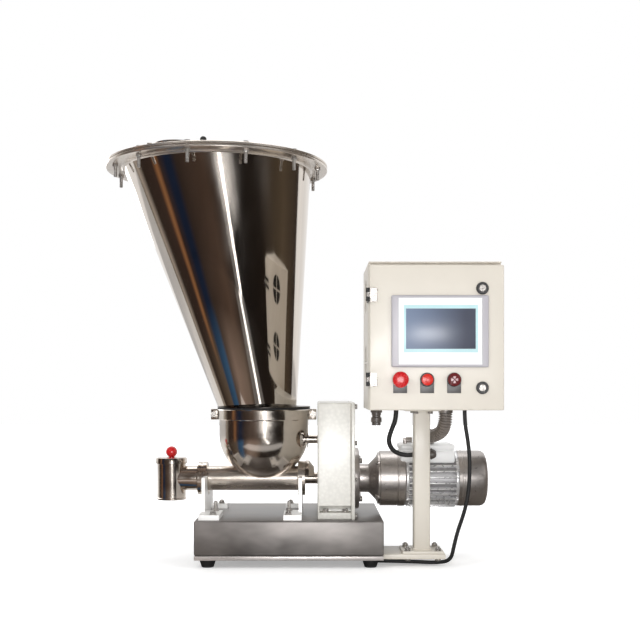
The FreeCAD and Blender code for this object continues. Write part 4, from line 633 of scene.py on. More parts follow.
class FEEDER_OT_stage(bpy.types.Operator):
    """Camera, floor, plain studio light and the dark room that the polished sheet mirrors"""

    bl_idname = "feeder.stage"
    bl_label = "Stage"

    def execute(self, context):
        scene = context.scene
        camera = bpy.data.cameras.new("Camera")
        camera.lens, camera.sensor_width = 56.25, 36
        camera.shift_x, camera.shift_y = (pixels / PHOTO_SIDE for pixels in CAMERA_SHIFT)
        view = bpy.data.objects.new("Camera", camera)
        view.location = CAMERA_PLACE
        view.rotation_euler = (math.pi / 2, 0, 0)
        context.collection.objects.link(view)
        scene.camera = view
        scene.view_settings.view_transform = "Standard"
        self.make_floor()
        self.make_world(scene)
        self.make_lamps(context)
        self.make_room()
        return {"FINISHED"}

    def make_floor(self):
        """A pale floor that fades to plain white, for the camera only."""
        start_clean()
        bpy.ops.mesh.primitive_plane_add(size=16, location=(0, 0, 0))
        floor = bpy.context.object
        floor.name = "floor"
        made, tree, shader = new_finish("WhiteFloor")
        glow = ranged(tree, reach(tree), 0.34, 1.0, 0.7, 2.4)
        shown = add(tree, "Math", {0: add(tree, "LightPath", {}, "Is Camera Ray"), 1: glow}, 0,
                    operation="MULTIPLY")
        wire(tree, shader, {
            "Roughness": 0.9, "Specular IOR Level": 0.1, "Emission Strength": shown,
            "Emission Color": (1, 1, 1, 1),
            "Base Color": blended(tree, noise(tree, 3, detail=2.0), (0.93,) * 3, (0.95,) * 3)})
        floor.data.materials.append(made)

    def make_world(self, scene):
        """White surroundings, dimmer as light than where they are seen."""
        world = bpy.data.worlds.new("Studio")
        world.use_nodes = True
        tree = world.node_tree
        path = add(tree, "LightPath", {}, "Is Camera Ray")
        for ray in ("Is Glossy Ray", "Is Transmission Ray"):
            seen = add(tree, "LightPath", {}, ray)
            path = add(tree, "Math", {0: path, 1: seen}, 0, operation="MAXIMUM")
        wire(tree, tree.nodes["Background"], {"Strength": ranged(tree, path, 0.55, 1.0, 0.0, 1.0),
                                              "Color": (1, 1, 1, 1)})
        scene.world = world

    def make_lamps(self, context):
        """Soft studio lamps, and narrow ones that only mirroring surfaces see."""
        lamps = (
            ("key", (-1.5, -2.4, 2.3), (0, 0, 0.5), 1.1, 1.1, 30),
            ("fill", (2.6, -1.9, 1.6), (0.1, 0, 0.4), 1.0, 1.6, 20),
            ("top", (0, 0.6, 2.8), (0, 0, 0.4), 1.6, 1.6, 18),
            ("rear", (-1.4, 1.8, 1.5), (0, 0, 0.5), 0.8, 1.4, 9),
            ("front", (0.25, -2.9, 0.40), (0.1, 0, 0.3), 1.5, 0.35, 14),
        )
        for name, place, aim, width, height, power in lamps:
            obj = self.make_lamp(context, name, place, width, height, power)
            obj.rotation_euler = (Vector(aim) - Vector(place)).to_track_quat("-Z", "Y").to_euler()
        along, upright = (math.pi, 0, -math.atan(0.081)), (math.pi / 2, -math.atan(0.155), 0)
        streaks = (
            ("streak_floor", (0.090, -1.365, 0.008), along, 0.085, 1.20, 0.9),
            ("streak_wall", (0.082, -1.975, 0.345), upright, 0.10, 0.68, 0.8),
            ("glow_floor", (0.090, -1.365, 0.007), along, 0.45, 1.20, 0.25),
            ("glow_wall", (0.082, -1.978, 0.345), upright, 0.45, 0.68, 0.16),
            ("front_bar", (0.0, -0.50, 0.02), (math.pi, 0, 0), 1.1, 0.26, 0.38),
            ("sheen", (0.30, -2.92, 0.42), (math.pi / 2, 0, 0), 1.0, 0.26, 32),
        )
        for name, place, turn, width, height, power in streaks:
            obj = self.make_lamp(context, name, place, width, height, power)
            obj.rotation_euler = turn
            obj.visible_diffuse = obj.visible_camera = False

    def make_lamp(self, context, name, place, width, height, power):
        """One rectangular lamp."""
        lamp = bpy.data.lights.new(name, "AREA")
        lamp.shape = "RECTANGLE"
        lamp.size, lamp.size_y, lamp.energy = width, height, power
        obj = bpy.data.objects.new(name, lamp)
        obj.location = place
        context.collection.objects.link(obj)
        return obj

    def make_room(self):
        """A dark half room round the front of the feeder that only its polished sheet mirrors."""
        shade = room_shade("DarkRoom")
        for name, height in (("room_floor", 0.004), ("room_wall", 1.054), ("room_ceiling", 2.1)):
            start_clean()
            ring = {"vertices": 120, "radius": 2, "location": (-0.13, 0, height)}
            if name == "room_wall":
                bpy.ops.mesh.primitive_cylinder_add(depth=2.1, end_fill_type="NOTHING", **ring)
            else:
                bpy.ops.mesh.primitive_circle_add(fill_type="TRIFAN", **ring)
            part = bpy.context.object
            part.name = name
            bpy.ops.object.transform_apply(location=False, rotation=True, scale=True)
            pick_vertices(part, self.behind)
            bpy.ops.mesh.delete(type="VERT")
            bpy.ops.object.mode_set(mode="OBJECT")
            part.data.materials.append(shade)
            part.visible_camera = part.visible_diffuse = part.visible_shadow = False

    def behind(self, spot):
        """Whether a room corner lies behind the feeder."""
        angle = math.degrees(math.atan2(spot.x, -spot.y))
        return math.hypot(spot.x, spot.y) > 1.5 and not -114 < angle < 118


class FEEDER_OT_cables(bpy.types.Operator):
    """The black motor cable and the load-cell cable"""

    bl_idname = "feeder.cables"
    bl_label = "Cables"

    def execute(self, context):
        leads = (("motor_lead", "motor_cable", MOTOR_CABLE, MOTOR_CABLE_SIZE, 0.191),
                 ("cell_lead", "load_cell_cable", CELL_CABLE, CELL_CABLE_SIZE, 0.739))
        for name, node, points, size, length in leads:
            lead = route_curve(name, points, size / 2)
            finished(lead, "rubber", "machine", node)
        return {"FINISHED"}


class FEEDER_OT_conduit(bpy.types.Operator):
    """The corrugated conduit between the cabinet and the terminal box"""

    bl_idname = "feeder.conduit"
    bl_label = "Conduit"

    def execute(self, context):
        line = route_curve("conduit_line", CONDUIT)
        sample = bpy.data.meshes.new_from_object(line)
        points = [vertex.co.copy() for vertex in sample.vertices]
        bpy.data.meshes.remove(sample)
        length = sum((b - a).length for a, b in zip(points, points[1:])) / MM
        pitch, crest, valley = 5.6, 16, 12.9
        count = int(length / pitch)
        rings = []
        for i in range(count):
            start = i * length / count
            rings += [(valley, start), (valley, start + 1.2), (crest, start + 2.4),
                (crest, start + 4.4)]
        rings.append((valley, length))
        hose = lathe("conduit_hose", "X", (0, 0, 0), rings, 36)
        modifier(hose, "CURVE", object=line, deform_axis="POS_X")
        bpy.data.objects.remove(line, do_unlink=True)
        finished(hose, "conduit", "machine", "conduit", smooth=50)
        return {"FINISHED"}


class FEEDER_OT_hopper(bpy.types.Operator):
    """The leaning polished hopper with its rim and outlet plate, and the gasket under it"""

    bl_idname = "feeder.hopper"
    bl_label = "Hopper"

    def execute(self, context):
        s = sizes(context)
        bottom, top = high("hopper_gasket").z, low("hopper_lid").z
        plate, wall = bottom + 3.5, 2
        rim = top - 7
        lean, steps = LID.x - s.cone_low_x, 10
        rings = []
        for i in range(steps + 1):
            share = i / steps
            rings.append((s.cone_low + (s.cone_top - s.cone_low) * share, (rim - plate) * share,
                (lean * share, 0, 0)))
        inner = [(radius - wall, distance, shift) for radius, distance, shift in reversed(rings)]
        shell = ringed("hopper_shell", "Z", (s.cone_low_x, 0, plate), rings + inner, 128)
        flange = ringed("hopper_flange", "Z", (LID.x, 0, rim),
            [(s.cone_top - wall, 0), (s.rim_radius, 0), (s.rim_radius, 6.5),
            (s.cone_top - wall, 6.5)], 128)
        rounded(flange, 1.2, 3)
        weld = ringed("hopper_weld", "Z", (LID.x, 0, rim),
            [(s.cone_top - 1, -4), (s.cone_top + 3.5, -1.2), (s.cone_top + 4.5, 0.2),
            (s.cone_top - 1, 0.2)], 128)
        outlet = ringed("hopper_outlet", "Z", (BOWL.x, 0, bottom), [(88, 0), (114, 0), (114, 3.5),
            (88, 3.5)], 96)
        rounded(outlet, 0.8, 2)
        spigot = tube("hopper_spigot", "Z", (BOWL.x, 0, bottom), 106.2, 104.2, (-25.5, 0), 96)
        finished(joined("hopper_polished", shell, spigot), "mirror", "machine", "hopper_cone",
            smooth=30)
        finished(joined("hopper_rim", flange, weld), "rim", "machine", smooth=30)
        # the outlet plate takes the darkened steel, painted shade for the dark band under the hopper
        finished(outlet, "flange", "machine")
        gasket = ringed("hopper_gasket_ring", "Z", (BOWL.x, 0, bottom - 3.5),
            [(106.6, 0), (113, 0), (114, 1.7), (113, 3.5), (106.6, 3.5)], 96)
        finished(gasket, "rubber", "machine", "hopper_gasket", smooth=50)
        return {"FINISHED"}


class FEEDER_OT_lid(bpy.types.Operator):
    """The flat lid and the filling neck with its hinge pin"""

    bl_idname = "feeder.lid"
    bl_label = "Lid and neck"

    def execute(self, context):
        s = sizes(context)
        lid = lathe("lid_sheet", "Z", LID, [(s.rim_radius - 2, 0), (s.rim_radius, 0.8),
            (s.rim_radius, 5), (s.rim_radius - 1.5, 6), (60, 6)], 128)
        hole = lathe("lid_opening", "Z", NECK, [(49, -10), (49, 5)], 64)
        cut_with(lid, hole)
        finished(lid, "rim", "machine", "hopper_lid")
        neck = ringed("neck_wall", "Z", NECK, [(49, 0), (54, 0), (52, 2), (51, 5), (51, 34),
            (55.5, 34), (56, 34.6), (56, 39.4), (55.5, 40), (49, 40)], 72)
        ears = [box(f"neck_ear_{side}", NECK + Vector((-70, side - 3, 34)),
            NECK + Vector((-58, side + 3, 46)), 1.5) for side in (-14, 14)]
        roots = [box(f"neck_root_{side}", NECK + Vector((-70, side - 3, 34)),
            NECK + Vector((-50, side + 3, 39.8)), 0.8) for side in (-14, 14)]
        pin = lathe("neck_pin", "Y", NECK + Vector((-64, 0, 40)), [(3, -19), (3, 19)], 24)
        finished(joined("filling_neck", neck, *ears, *roots, rounded(pin, 0.6)), "turned",
            "machine", "inlet_neck")
        return {"FINISHED"}


class FEEDER_OT_inlet_cover(bpy.types.Operator):
    """The hinged cover of the filling neck with its knob"""

    bl_idname = "feeder.inlet_cover"
    bl_label = "Inlet cover"

    def execute(self, context):
        top = Vector((NECK.x, NECK.y, high("inlet_neck").z - 6))
        disc = ringed("cover_disc", "Z", top, [(45, -5), (47, -5), (47, 0.5), (55, 0.5), (55, 3.8),
            (53.5, 4.6), (20, 4.6), (0, 4.9), (0, 0.6), (45, 0.6)], 72)
        knuckle = ringed("cover_knuckle", "Y", top + Vector((-64, 0, 0)),
            [(3.1, -10), (6, -10), (6, 10), (3.1, 10)], 32)
        arm = box("cover_arm", top + Vector((-60, -9.5, 0.6)), top + Vector((-30, 9.5, 5.2)), 1)
        ear = box("cover_ear", top + Vector((40, -9, 0.6)), top + Vector((72, 9, 5)), 2)
        finished(joined("inlet_cover_plate", disc, rounded(knuckle, 0.5), arm, ear), "turned",
            "fill_cover", "inlet_cover")
        spot = top + Vector((64, 0, 4.5))
        stem = lathe("cover_stem", "Z", spot, [(5.5, 0), (5.5, 2), (3.5, 3), (3.5, 8)], 24)
        finished(joined("inlet_cover_knob", ball("cover_ball", spot + Vector((0, 0, 13)), 8), stem),
            "black", "fill_cover", "cover_knob")
        return {"FINISHED"}


class FEEDER_OT_lid_bolts(bpy.types.Operator):
    """Twelve long bolts through lid and rim with nuts and washers"""

    bl_idname = "feeder.lid_bolts"
    bl_label = "Lid bolts"

    def execute(self, context):
        s = sizes(context)
        first = math.radians(-100)
        spot = Vector((LID.x + s.bolt_circle * math.cos(first), s.bolt_circle * math.sin(first),
            LID.z))
        head = hexagon("lid_head", "Z", spot, 7.5, (6, 12))
        nut = hexagon("lid_nut", "Z", spot, 7.5, (-13, -7))
        washer = lathe("lid_washer", "Z", spot, [(8.5, 5.9), (8.5, 7)], 24)
        rod = lathe("lid_rod", "Z", spot, [(3.2, -37), (4, -36), (4, 6)], 20)
        bolts = turned_copies(joined("lid_bolt", head, nut, washer, rod), LID_BOLTS, "Z", LID, -1)
        finished(joined("lid_bolt_set", *bolts), "bolt", "machine", "lid_bolts")
        return {"FINISHED"}


class FEEDER_OT_bowl(bpy.types.Operator):
    """The polished bowl on the barrel, with the agitator shaft's boss"""

    bl_idname = "feeder.bowl"
    bl_label = "Bowl"

    def execute(self, context):
        s = sizes(context)
        outer, wall = s.bowl_radius, 3
        arc = [math.radians(-88 + 8 * i) for i in range(12)]
        rings = [(outer * math.cos(a), outer * math.sin(a)) for a in arc] + [(outer, 62)]
        inner = [((outer - wall) * math.cos(a), (outer - wall) * math.sin(a))
            for a in reversed(arc)]
        shell = ringed("bowl_shell", "Z", BOWL, rings + [(outer - wall, 62)] + inner, 96)
        tunnel = lathe("bowl_tunnel", "X", AXIS, [(28, -180), (28, 50)], 48)
        cut_with(shell, tunnel)
        boss = lathe("bowl_boss", "X", STIR, [(19, 24), (17.5, 30), (17, 33), (17, 34.8),
            (16.3, 35.5)], 40)
        finished(joined("bowl_polished", shell, boss), "turned", "machine", "agitator_bowl")
        for name, side in (("bowl_clamp_front", -1), ("bowl_clamp_rear", 1)):
            self.make_band(s, name, side)
        return {"FINISHED"}

    def make_band(self, s, name, side):
        """Half of the clamp band with its two lugs."""
        bottom, outer = low(name).z, s.bowl_radius + 5
        band = ringed(name + "_arc", "Z", (BOWL.x, 0, bottom),
            [(s.bowl_radius, 0), (outer - 1.5, 0), (outer, 2), (outer, 24), (outer - 1.5, 26),
            (s.bowl_radius, 26)], 96)
        halved(band, (0, side, 0), (0, -side, 0))
        lugs = []
        for x in (-1, 1):
            near, far = BOWL.x + x * (outer - 3), BOWL.x + x * (outer + 15)
            inside, outside = side, side * 10
            lugs.append(box(f"{name}_lug_{x}", (min(near, far), min(inside, outside), bottom),
                (max(near, far), max(inside, outside), bottom + 26), 1.5))
        finished(joined(name + "_band", band, *lugs), "turned", "machine", name)


class FEEDER_OT_barrel(bpy.types.Operator):
    """The feed barrel, its clamp, the outlet spout, and the spout's cap with its red ball"""

    bl_idname = "feeder.barrel"
    bl_label = "Barrel and spout"

    def execute(self, context):
        s = sizes(context)
        seam = low("screw_barrel").x
        r = s.barrel_radius
        barrel = ringed("barrel_pipe", "X", AXIS, [(27, seam), (36, seam), (36, seam + 3),
            (r, seam + 3.5), (r, 17), (r + 4, 18), (42, 18.4), (42, 35.4), (41.3, 36), (14.2, 36),
            (14.2, 18), (27, 17)], 72)
        finished(barrel, "drawn", "machine", "screw_barrel")
        collar = ringed("clamp_collar", "X", (seam, 0, AXIS.z), [(30.2, -12), (39.5, -12),
            (41, -10.2), (41, -3.2), (39.6, -2.4), (39.6, 2.4), (41, 3.2), (41, 10.2), (39.5, 12),
            (30.2, 12)], 72)
        lug = box("clamp_lug", (seam - 6, 39, AXIS.z - 9), (seam + 6, 55, AXIS.z + 9), 1.5)
        screw = lathe("clamp_screw", "Z", (seam, 48, AXIS.z), [(3, -16), (3, 12), (5, 12), (5, 16)],
            24)
        finished(joined("spout_collar", collar, lug, screw), "turned", "machine", "spout_clamp")
        self.make_spout(s, seam)
        self.make_cap()
        return {"FINISHED"}

    def make_spout(self, s, seam):
        """The upright spout with its rolled lower rim and the stub towards the barrel."""
        r = s.spout_radius
        body = ringed("spout_body", "Z", SPOUT, [(r - 3, 0), (r + 0.6, 0), (r + 1.5, 1),
            (r + 1.5, 4), (r, 5), (r, 88), (r - 3, 88)], 72)
        feed = lathe("spout_feed", "X", AXIS, [(26.9, SPOUT.x), (26.9, seam)], 48)
        cut_with(body, feed)
        meet = SPOUT.x + math.sqrt(r * r - s.barrel_radius ** 2)
        stub = ringed("spout_stub", "X", AXIS, [(27, meet - 4), (s.barrel_radius, meet - 4),
            (s.barrel_radius, seam - 3.5), (36, seam - 3), (36, seam), (27, seam)], 72)
        finished(joined("spout_polished", body, stub), "turned", "machine", "outlet_spout")

    def make_cap(self):
        """The lift-off cap and its ball."""
        rest = Vector((SPOUT.x, 0, high("outlet_spout").z))
        top = 15
        cap = ringed("cap_shell", "Z", rest, [(29.5, 0.2), (29.5, -8), (31.4, -8), (31.4, 0),
            (38, 0), (38.5, 0.6), (38.5, top - 3), (37.6, top - 0.8), (35.5, top), (0, top),
            (0, 0.2)], 72)
        finished(cap, "turned", "outlet_cap", "spout_cap")
        sphere = ball("cap_sphere", rest + Vector((0, 0, top + 13.5)), 14, 48, 32)
        boss = lathe("cap_stem", "Z", rest, [(7, top), (7, top + 1.5), (5, top + 3)], 32)
        finished(joined("cap_red_ball", sphere, boss), "red", "outlet_cap", "cap_knob")


class FEEDER_OT_platform(bpy.types.Operator):
    """The folded platform cover, its tray and the rubber feet"""

    bl_idname = "feeder.platform"
    bl_label = "Platform"

    def execute(self, context):
        start, end = corners("platform_cover")
        cover = box("cover_fold", start, end, 3, 4)
        cut_with(cover, box("cover_hollow", (start.x + 2, start.y + 2, start.z - PAST),
            end - Vector((2, 2, 2)), 0))
        finished(cover, "platform", "machine", "platform_cover")
        tray_low, tray_high = corners("base_frame")
        tray = box("tray_fold", tray_low, tray_high, 1.2, 2)
        cut_with(tray, box("tray_hollow", (tray_low.x + 3, tray_low.y + 3, tray_low.z - PAST),
            tray_high - Vector((3, 3, 3)), 0))
        finished(tray, "brushed", "machine", "base_frame")
        corner = low("rubber_feet") + Vector((20, 20, 0))
        foot = ringed("foot", "Z", corner, [(3, 0), (13.2, 0), (14, 0.8), (19.6, 17.5), (19, 19),
            (3, 19), (3, 8)], 40)
        feet = [copied(foot, (x, y, 0), f"foot_{i}") for i,
            (x, y) in enumerate(((377, 0), (0, 299), (377, 299)))]
        finished(joined("feet_moulded", foot, *feet), "rubber", "machine", "rubber_feet")
        return {"FINISHED"}


class FEEDER_OT_frame_bolts(bpy.types.Operator):
    """Studs and nuts of the brackets, of the post's foot and of its head"""

    bl_idname = "feeder.frame_bolts"
    bl_label = "Frame bolts"

    def execute(self, context):
        seat = high("platform_cover").z + 11.5
        spots = [(x, y, seat) for x in (-177, -2) for y in (-74, -144, 78)]
        foot = high("post_foot").z + 6
        post = middle("cabinet_post")
        spots += [(post.x + a * 35, post.y + b * 33, foot) for a, b in CORNERS]
        made = []
        for i, spot in enumerate(spots):
            height = 24 if i in (0, 3) else 9.5
            nut = hexagon(f"stud_nut_{i}", "Z", spot, 7.4, (1.2, 7))
            washer = lathe(f"stud_washer_{i}", "Z", spot, [(8.6, 0), (8.6, 1.3)], 24)
            rod = lathe(f"stud_rod_{i}", "Z", spot, [(4, 0), (4, height - 1), (3.2, height)], 20)
            made += [nut, washer, rod]
        under, top = low("frame_bolts").z, high("frame_bolts").z
        for a, b in CORNERS:
            made.append(hexagon("foot_nut", "Z", (post.x + a * 35, post.y + b * 33, under), 7.4,
                (0, 5.9)))
            made.append(hexagon("head_nut", "Z",
                (post.x + a * 17, post.y + (27.5 if b > 0 else -34), top), 7, (-6, -0.1)))
        finished(joined("studs_and_nuts", *made), "bolt", "machine", "frame_bolts")
        dress("bolt", "clamp_bolts")
        return {"FINISHED"}


class FEEDER_OT_housing(bpy.types.Operator):
    """The hammered gear housing with its side plate and hex bolts"""

    bl_idname = "feeder.housing"
    bl_label = "Gear housing"

    def execute(self, context):
        start, end = corners("gear_housing")
        body = box("housing_cast", start, end, 3.5, 4)
        for i, y in enumerate(((start.y - PAST, start.y + 28), (end.y - 28, end.y + PAST))):
            cut_with(body, box(f"housing_notch_{i}", (start.x + 4, y[0], start.z + 16),
                (end.x + PAST, y[1], start.z + 33), 1.5))
        finished(body, "hammered", "machine", "gear_housing")
        plate_low, plate_high = corners("housing_cover")
        plate = box("housing_side", (end.x + 0.1, plate_low.y, plate_low.z), plate_high, 1.6, 3)
        finished(plate, "hammered", "machine", "housing_cover")
        face = plate_high.x
        bolts = []
        first, last = start.z + 8, end.z - 9
        for i in range(4):
            z = first + (last - first) * i / 3
            for y in (start.y + 8, end.y - 8):
                bolts.append(hexagon("side_bolt", "X", (face, y, z), 6.5, (0, 5.5), 0.7))
        for y in (start.y + 14, end.y - 14):
            for x in (start.x + 19, end.x - 13):
                bolts.append(hexagon("foot_bolt", "Z", (x, y, start.z + 16), 7.5, (0, 8)))
        for a, b in CORNERS:
            spot = (face + 15, a * 46, AXIS.z + b * 46)
            bolts.append(hexagon("flange_bolt", "X", spot, 7.4, (0, 7)))
        finished(joined("housing_bolts", *bolts), "bolt", "machine", "drive_bolts")
        return {"FINISHED"}


class FEEDER_OT_drive(bpy.types.Operator):
    """The silver reducer, the fan cowl and the white terminal box"""

    bl_idname = "feeder.drive"
    bl_label = "Drive"

    def execute(self, context):
        s = sizes(context)
        face = low("reducer").x
        r = s.case_radius
        rings = [(13.5, 0), (75, 0), (75, 11), (73.5, 14), (70, 15), (36, 15), (34.6, 17),
            (34.6, 37), (36.5, 41), (54, 57.5), (60, 60), (63.5, 61), (63.5, 65), (r, 66.5),
            (r, 106.5), (r - 1.4, 107.5), (r - 1.4, 108.7), (r + 1, 109.5), (r + 1, 125),
            (r - 2, 128), (9.2, 128)]
        case = ringed("reducer_case", "X", (face, 0, AXIS.z), rings, 80)
        lugs = []
        for a, b in CORNERS:
            spot = (face + 58, a * 41, AXIS.z + b * 41)
            lugs.append(lathe("case_lug", "X", spot, [(6, 0), (7.5, 1.5), (7.5, 8)], 20))
            lugs.append(hexagon("case_bolt", "X", spot, 5.6, (-4, 0.5), 0.6))
        finished(joined("reducer_painted", case, *lugs), "silver", "machine", "reducer", smooth=28)
        self.make_cowl()
        self.make_terminal_box()
        self.make_motor_frame()
        dress("gear", "motor_rotor")
        dress("black", "cooling_fan")
        return {"FINISHED"}

    def make_motor_frame(self):
        """The cast frame: core, two end rings, fins all round and the flat under the box."""
        start, end = corners("motor_frame")
        length = end.x - start.x
        core = ringed("frame_core", "X", (start.x, 0, AXIS.z),
            [(50, 0.5), (62.6, 0.5), (62.6, length - 0.5), (9.3, length - 0.5), (9.3, length - 8),
            (50, length - 8)], 96)
        # the core between the fins gets the darkened aluminium, painted shade for the gaps
        finished(core, "core", "machine")
        rims = [tube("frame_rim", "X", (start.x, 0, AXIS.z), 67, 62, ends, 96)
            for ends in ((0, 7), (length - 7, length))]
        fin = box("frame_fin", (start.x + 5, -2.2, AXIS.z + 61), (end.x - 5, 2.2, AXIS.z + 71), 0.8,
            2)
        scaled(fin, lambda co: co.z > AXIS.z + 66, (1, 0.75, 1), (0, 0, 0))
        fins = []
        for i in range(FINS):
            angle = i * 2 * math.pi / FINS
            if abs((angle + math.pi) % (2 * math.pi) - math.pi) > math.radians(50):
                fins.append(turned_copy(fin, angle, "X", AXIS, f"frame_fin_{i}"))
        bpy.data.objects.remove(fin, do_unlink=True)
        pads = [box("frame_pad", (start.x + 18, side * 36 - 10, AXIS.z + 52),
            (end.x - 18, side * 36 + 10, low("terminal_box").z + 14), 1.5) for side in (-1, 1)]
        lugs = [lathe("frame_lug", "X", (x, 0, AXIS.z), [(5, 0), (5, 9)], 20)
            for x in (start.x + 1, end.x - 10)]
        for i, angle in enumerate((-45, 225)):
            for lug in list(lugs[:2]):
                moved = copied(lug, (0, 0, 67), "frame_lug_moved")
                lugs.append(turned_copy(moved, math.radians(angle - 90), "X", AXIS,
                    f"frame_lug_{i}"))
                bpy.data.objects.remove(moved, do_unlink=True)
        for lug in lugs[:2]:
            bpy.data.objects.remove(lug, do_unlink=True)
        finished(joined("motor_casting", *rims, *fins, *pads, *lugs[2:]), "fins", "machine",
            "motor_frame", smooth=28)

    def make_cowl(self):
        """The fan cowl with its slotted end."""
        start = low("fan_cover").x
        r, deep = 68, 70
        cowl = ringed("cowl_drawn", "X", (start, 0, AXIS.z), [(r - 1.6, 0), (r, 0), (r, 8),
            (r + 0.6, 9), (r + 0.6, 12), (r, 13), (r, deep - 14), (r - 1.6, deep - 8),
            (r - 5.5, deep - 3), (r - 13, deep), (12, deep), (12, deep - 2), (r - 14, deep - 2),
            (r - 7, deep - 5), (r - 2, deep - 14)], 80)
        slots = box("cowl_slot", (start + deep - 10, -2.4, AXIS.z + 17),
            (start + deep + 5, 2.4, AXIS.z + 50), 1.2, 2)
        cut_with(cowl, joined("cowl_slots", *turned_copies(slots, COWL_SLOTS, "X", AXIS)))
        cap = lathe("cowl_cap", "X", (start + deep - 2, 0, AXIS.z), [(13.5, 0), (13.5, 1), (12, 2)],
            40)
        finished(joined("fan_cowl", cowl, cap), "silver", "machine", "fan_cover", smooth=28)

    def make_terminal_box(self):
        """The terminal box with its lid line, lid screws and rounded corners."""
        start, end = corners("terminal_box")
        split = end.z - 15
        base = box("terminal_base", start, (end.x, end.y, split - 0.6), 6, 4)
        saddle = lathe("terminal_saddle", "X", AXIS, [(64, start.x - PAST), (64, end.x + PAST)], 64)
        cut_with(base, saddle)
        lid = box("terminal_lid", (start.x, start.y, split), end, 5, 4)
        seal = box("terminal_seal", (start.x + 3, start.y + 3, split - 2),
            (end.x - 3, end.y - 3, split + 2), 1)
        screws = []
        for x in (start.x + 11, end.x - 11):
            for y in (start.y + 11, end.y - 11):
                screws.append(lathe("terminal_screw", "Z", (x, y, end.z),
                    [(4.5, -2), (4.5, -0.4), (3, 0.0)], 20))
        finished(joined("terminal_case", base, lid, seal, *screws), "white", "machine",
            "terminal_box")


class FEEDER_OT_post(bpy.types.Operator):
    """The post with its welded plates and the foot bar"""

    bl_idname = "feeder.post"
    bl_label = "Post"

    def execute(self, context):
        s = sizes(context)
        bar = box("foot_bar", low("post_foot"), high("post_foot"), 1.5, 3)
        finished(bar, "cream", "machine", "post_foot")
        start, end = corners("cabinet_post")
        x, y, half = middle("cabinet_post").x, start.y + 46, s.post_side / 2
        pieces = [box("post_tube", (x - half, y - half, start.z), (x + half, y + half, end.z - 1),
            4, 4), box("post_foot_plate", start, (end.x, end.y, start.z + 6), 1.2),
            box("post_head_plate", (x - 41, start.y, end.z - 6), (x + 41, -78, end.z), 1.2)]
        weld = box("post_weld", (x - half - 3, y - half - 3, start.z + 5),
            (x + half + 3, y + half + 3, start.z + 9), 3, 3)
        finished(joined("post_painted", *pieces, weld), "cream", "machine", "cabinet_post")
        return {"FINISHED"}


class FEEDER_OT_cabinet(bpy.types.Operator):
    """The cabinet's folded body with its vents, and what it holds"""

    bl_idname = "feeder.cabinet"
    bl_label = "Cabinet"

    def execute(self, context):
        s = sizes(context)
        start, end = corners("cabinet_body")
        front = start.y + 6
        wall, lip = 2, 12
        body = box("cabinet_fold", (start.x, front, start.z), end, s.edge_round, 3)
        cut_with(body, box("cabinet_room", (start.x + wall, front + wall, start.z + wall),
            (end.x - wall, end.y - wall, end.z - wall), 0),
            box("cabinet_mouth", (start.x + lip, front - PAST, start.z + lip),
            (end.x - lip, front + PAST, end.z - lip), 0))
        webs = []
        vents = [Vector((start.x, (front + end.y) / 2, start.z + z)) for z in VENT_HEIGHTS]
        for centre in vents:
            cut_with(body, lathe("vent_hole", "X", centre,
                [(s.vent_radius, -5), (s.vent_radius, 5)], 48))
            webs.append(box("vent_web_y", centre + Vector((0.2, -2.5, -s.vent_radius)),
                centre + Vector((wall, 2.5, s.vent_radius)), 0.4))
            webs.append(box("vent_web_z", centre + Vector((0.2, -s.vent_radius, -2.5)),
                centre + Vector((wall, s.vent_radius, 2.5)), 0.4))
        gutter = box("cabinet_gutter", (start.x, start.y, end.z - 3), (end.x, front + 2, end.z), 1)
        finished(joined("cabinet_painted", body, gutter, *webs), "cream", "machine", "cabinet_body")
        filters = [lathe("vent_filter", "X", centre + Vector((wall, 0, 0)),
            [(s.vent_radius + 5, 0.1), (s.vent_radius + 5, 2.1)], 48) for centre in vents]
        finished(joined("vent_filters", *filters), "black", "machine")
        dress("brushed", "mounting_plate", "load_cell")
        dress("black", "motor_drive")
        dress("bolt", "door_hinge_leaves")
        dress("black", "body_hinge_leaves")
        return {"FINISHED"}


class FEEDER_OT_door(bpy.types.Operator):
    """The door pan with the operator panel and its display"""

    bl_idname = "feeder.door"
    bl_label = "Door"

    def execute(self, context):
        start, end = corners("cabinet_door")
        wall = 2
        pan = box("door_fold", start, end, 3, 4)
        cutters = [box("door_room", (start.x + wall, start.y + wall, start.z + wall),
            (end.x - wall, end.y + PAST, end.z - wall), 0)]
        panel_low, panel_high = corners("operator_panel")
        inset = 9
        cutters.append(box("door_window", (panel_low.x + inset, start.y - PAST,
            panel_low.z + inset), (panel_high.x - inset, start.y + PAST, panel_high.z - inset), 0))
        cut_with(pan, *cutters)
        finished(pan, "cream", "door", "cabinet_door")
        self.make_panel(panel_low, panel_high, start.y)
        return {"FINISHED"}

    def make_panel(self, start, end, face):
        """The panel's grey bezel, its white front with a pale frame, and the display."""
        front = start.y
        bezel = box("panel_bezel", start, (end.x, face, end.z), 3.5, 4)
        rear = box("panel_rear", (start.x + 9.5, face - 1, start.z + 9.5),
            (end.x - 9.5, end.y, end.z - 9.5), 2)
        cut_with(bezel, box("panel_recess", (start.x + 15, front - PAST, start.z + 5.5),
            (end.x - 14, front + 1.5, end.z - 5.5), 0))
        finished(joined("panel_case", bezel, rear), "bezel", "door", "operator_panel")
        layers = (("panel_front", 15.2, 14.2, 5.7, 5.7, 0.6, "white", ()),
                  ("display_frame", 26.5, 23.5, 32, 21.5, 0.4, "frost", ()),
                  ("display_glass", 31, 28.5, 39.5, 29, 0.2, "glass", ("panel_screen",)))
        for name, left, right, below, above, out, finish, nodes in layers:
            piece = box(name, (start.x + left, front + out, start.z + below),
                (end.x - right, front + 1.8, end.z - above), 0.2, 2)
            finished(piece, finish, "door", *nodes)


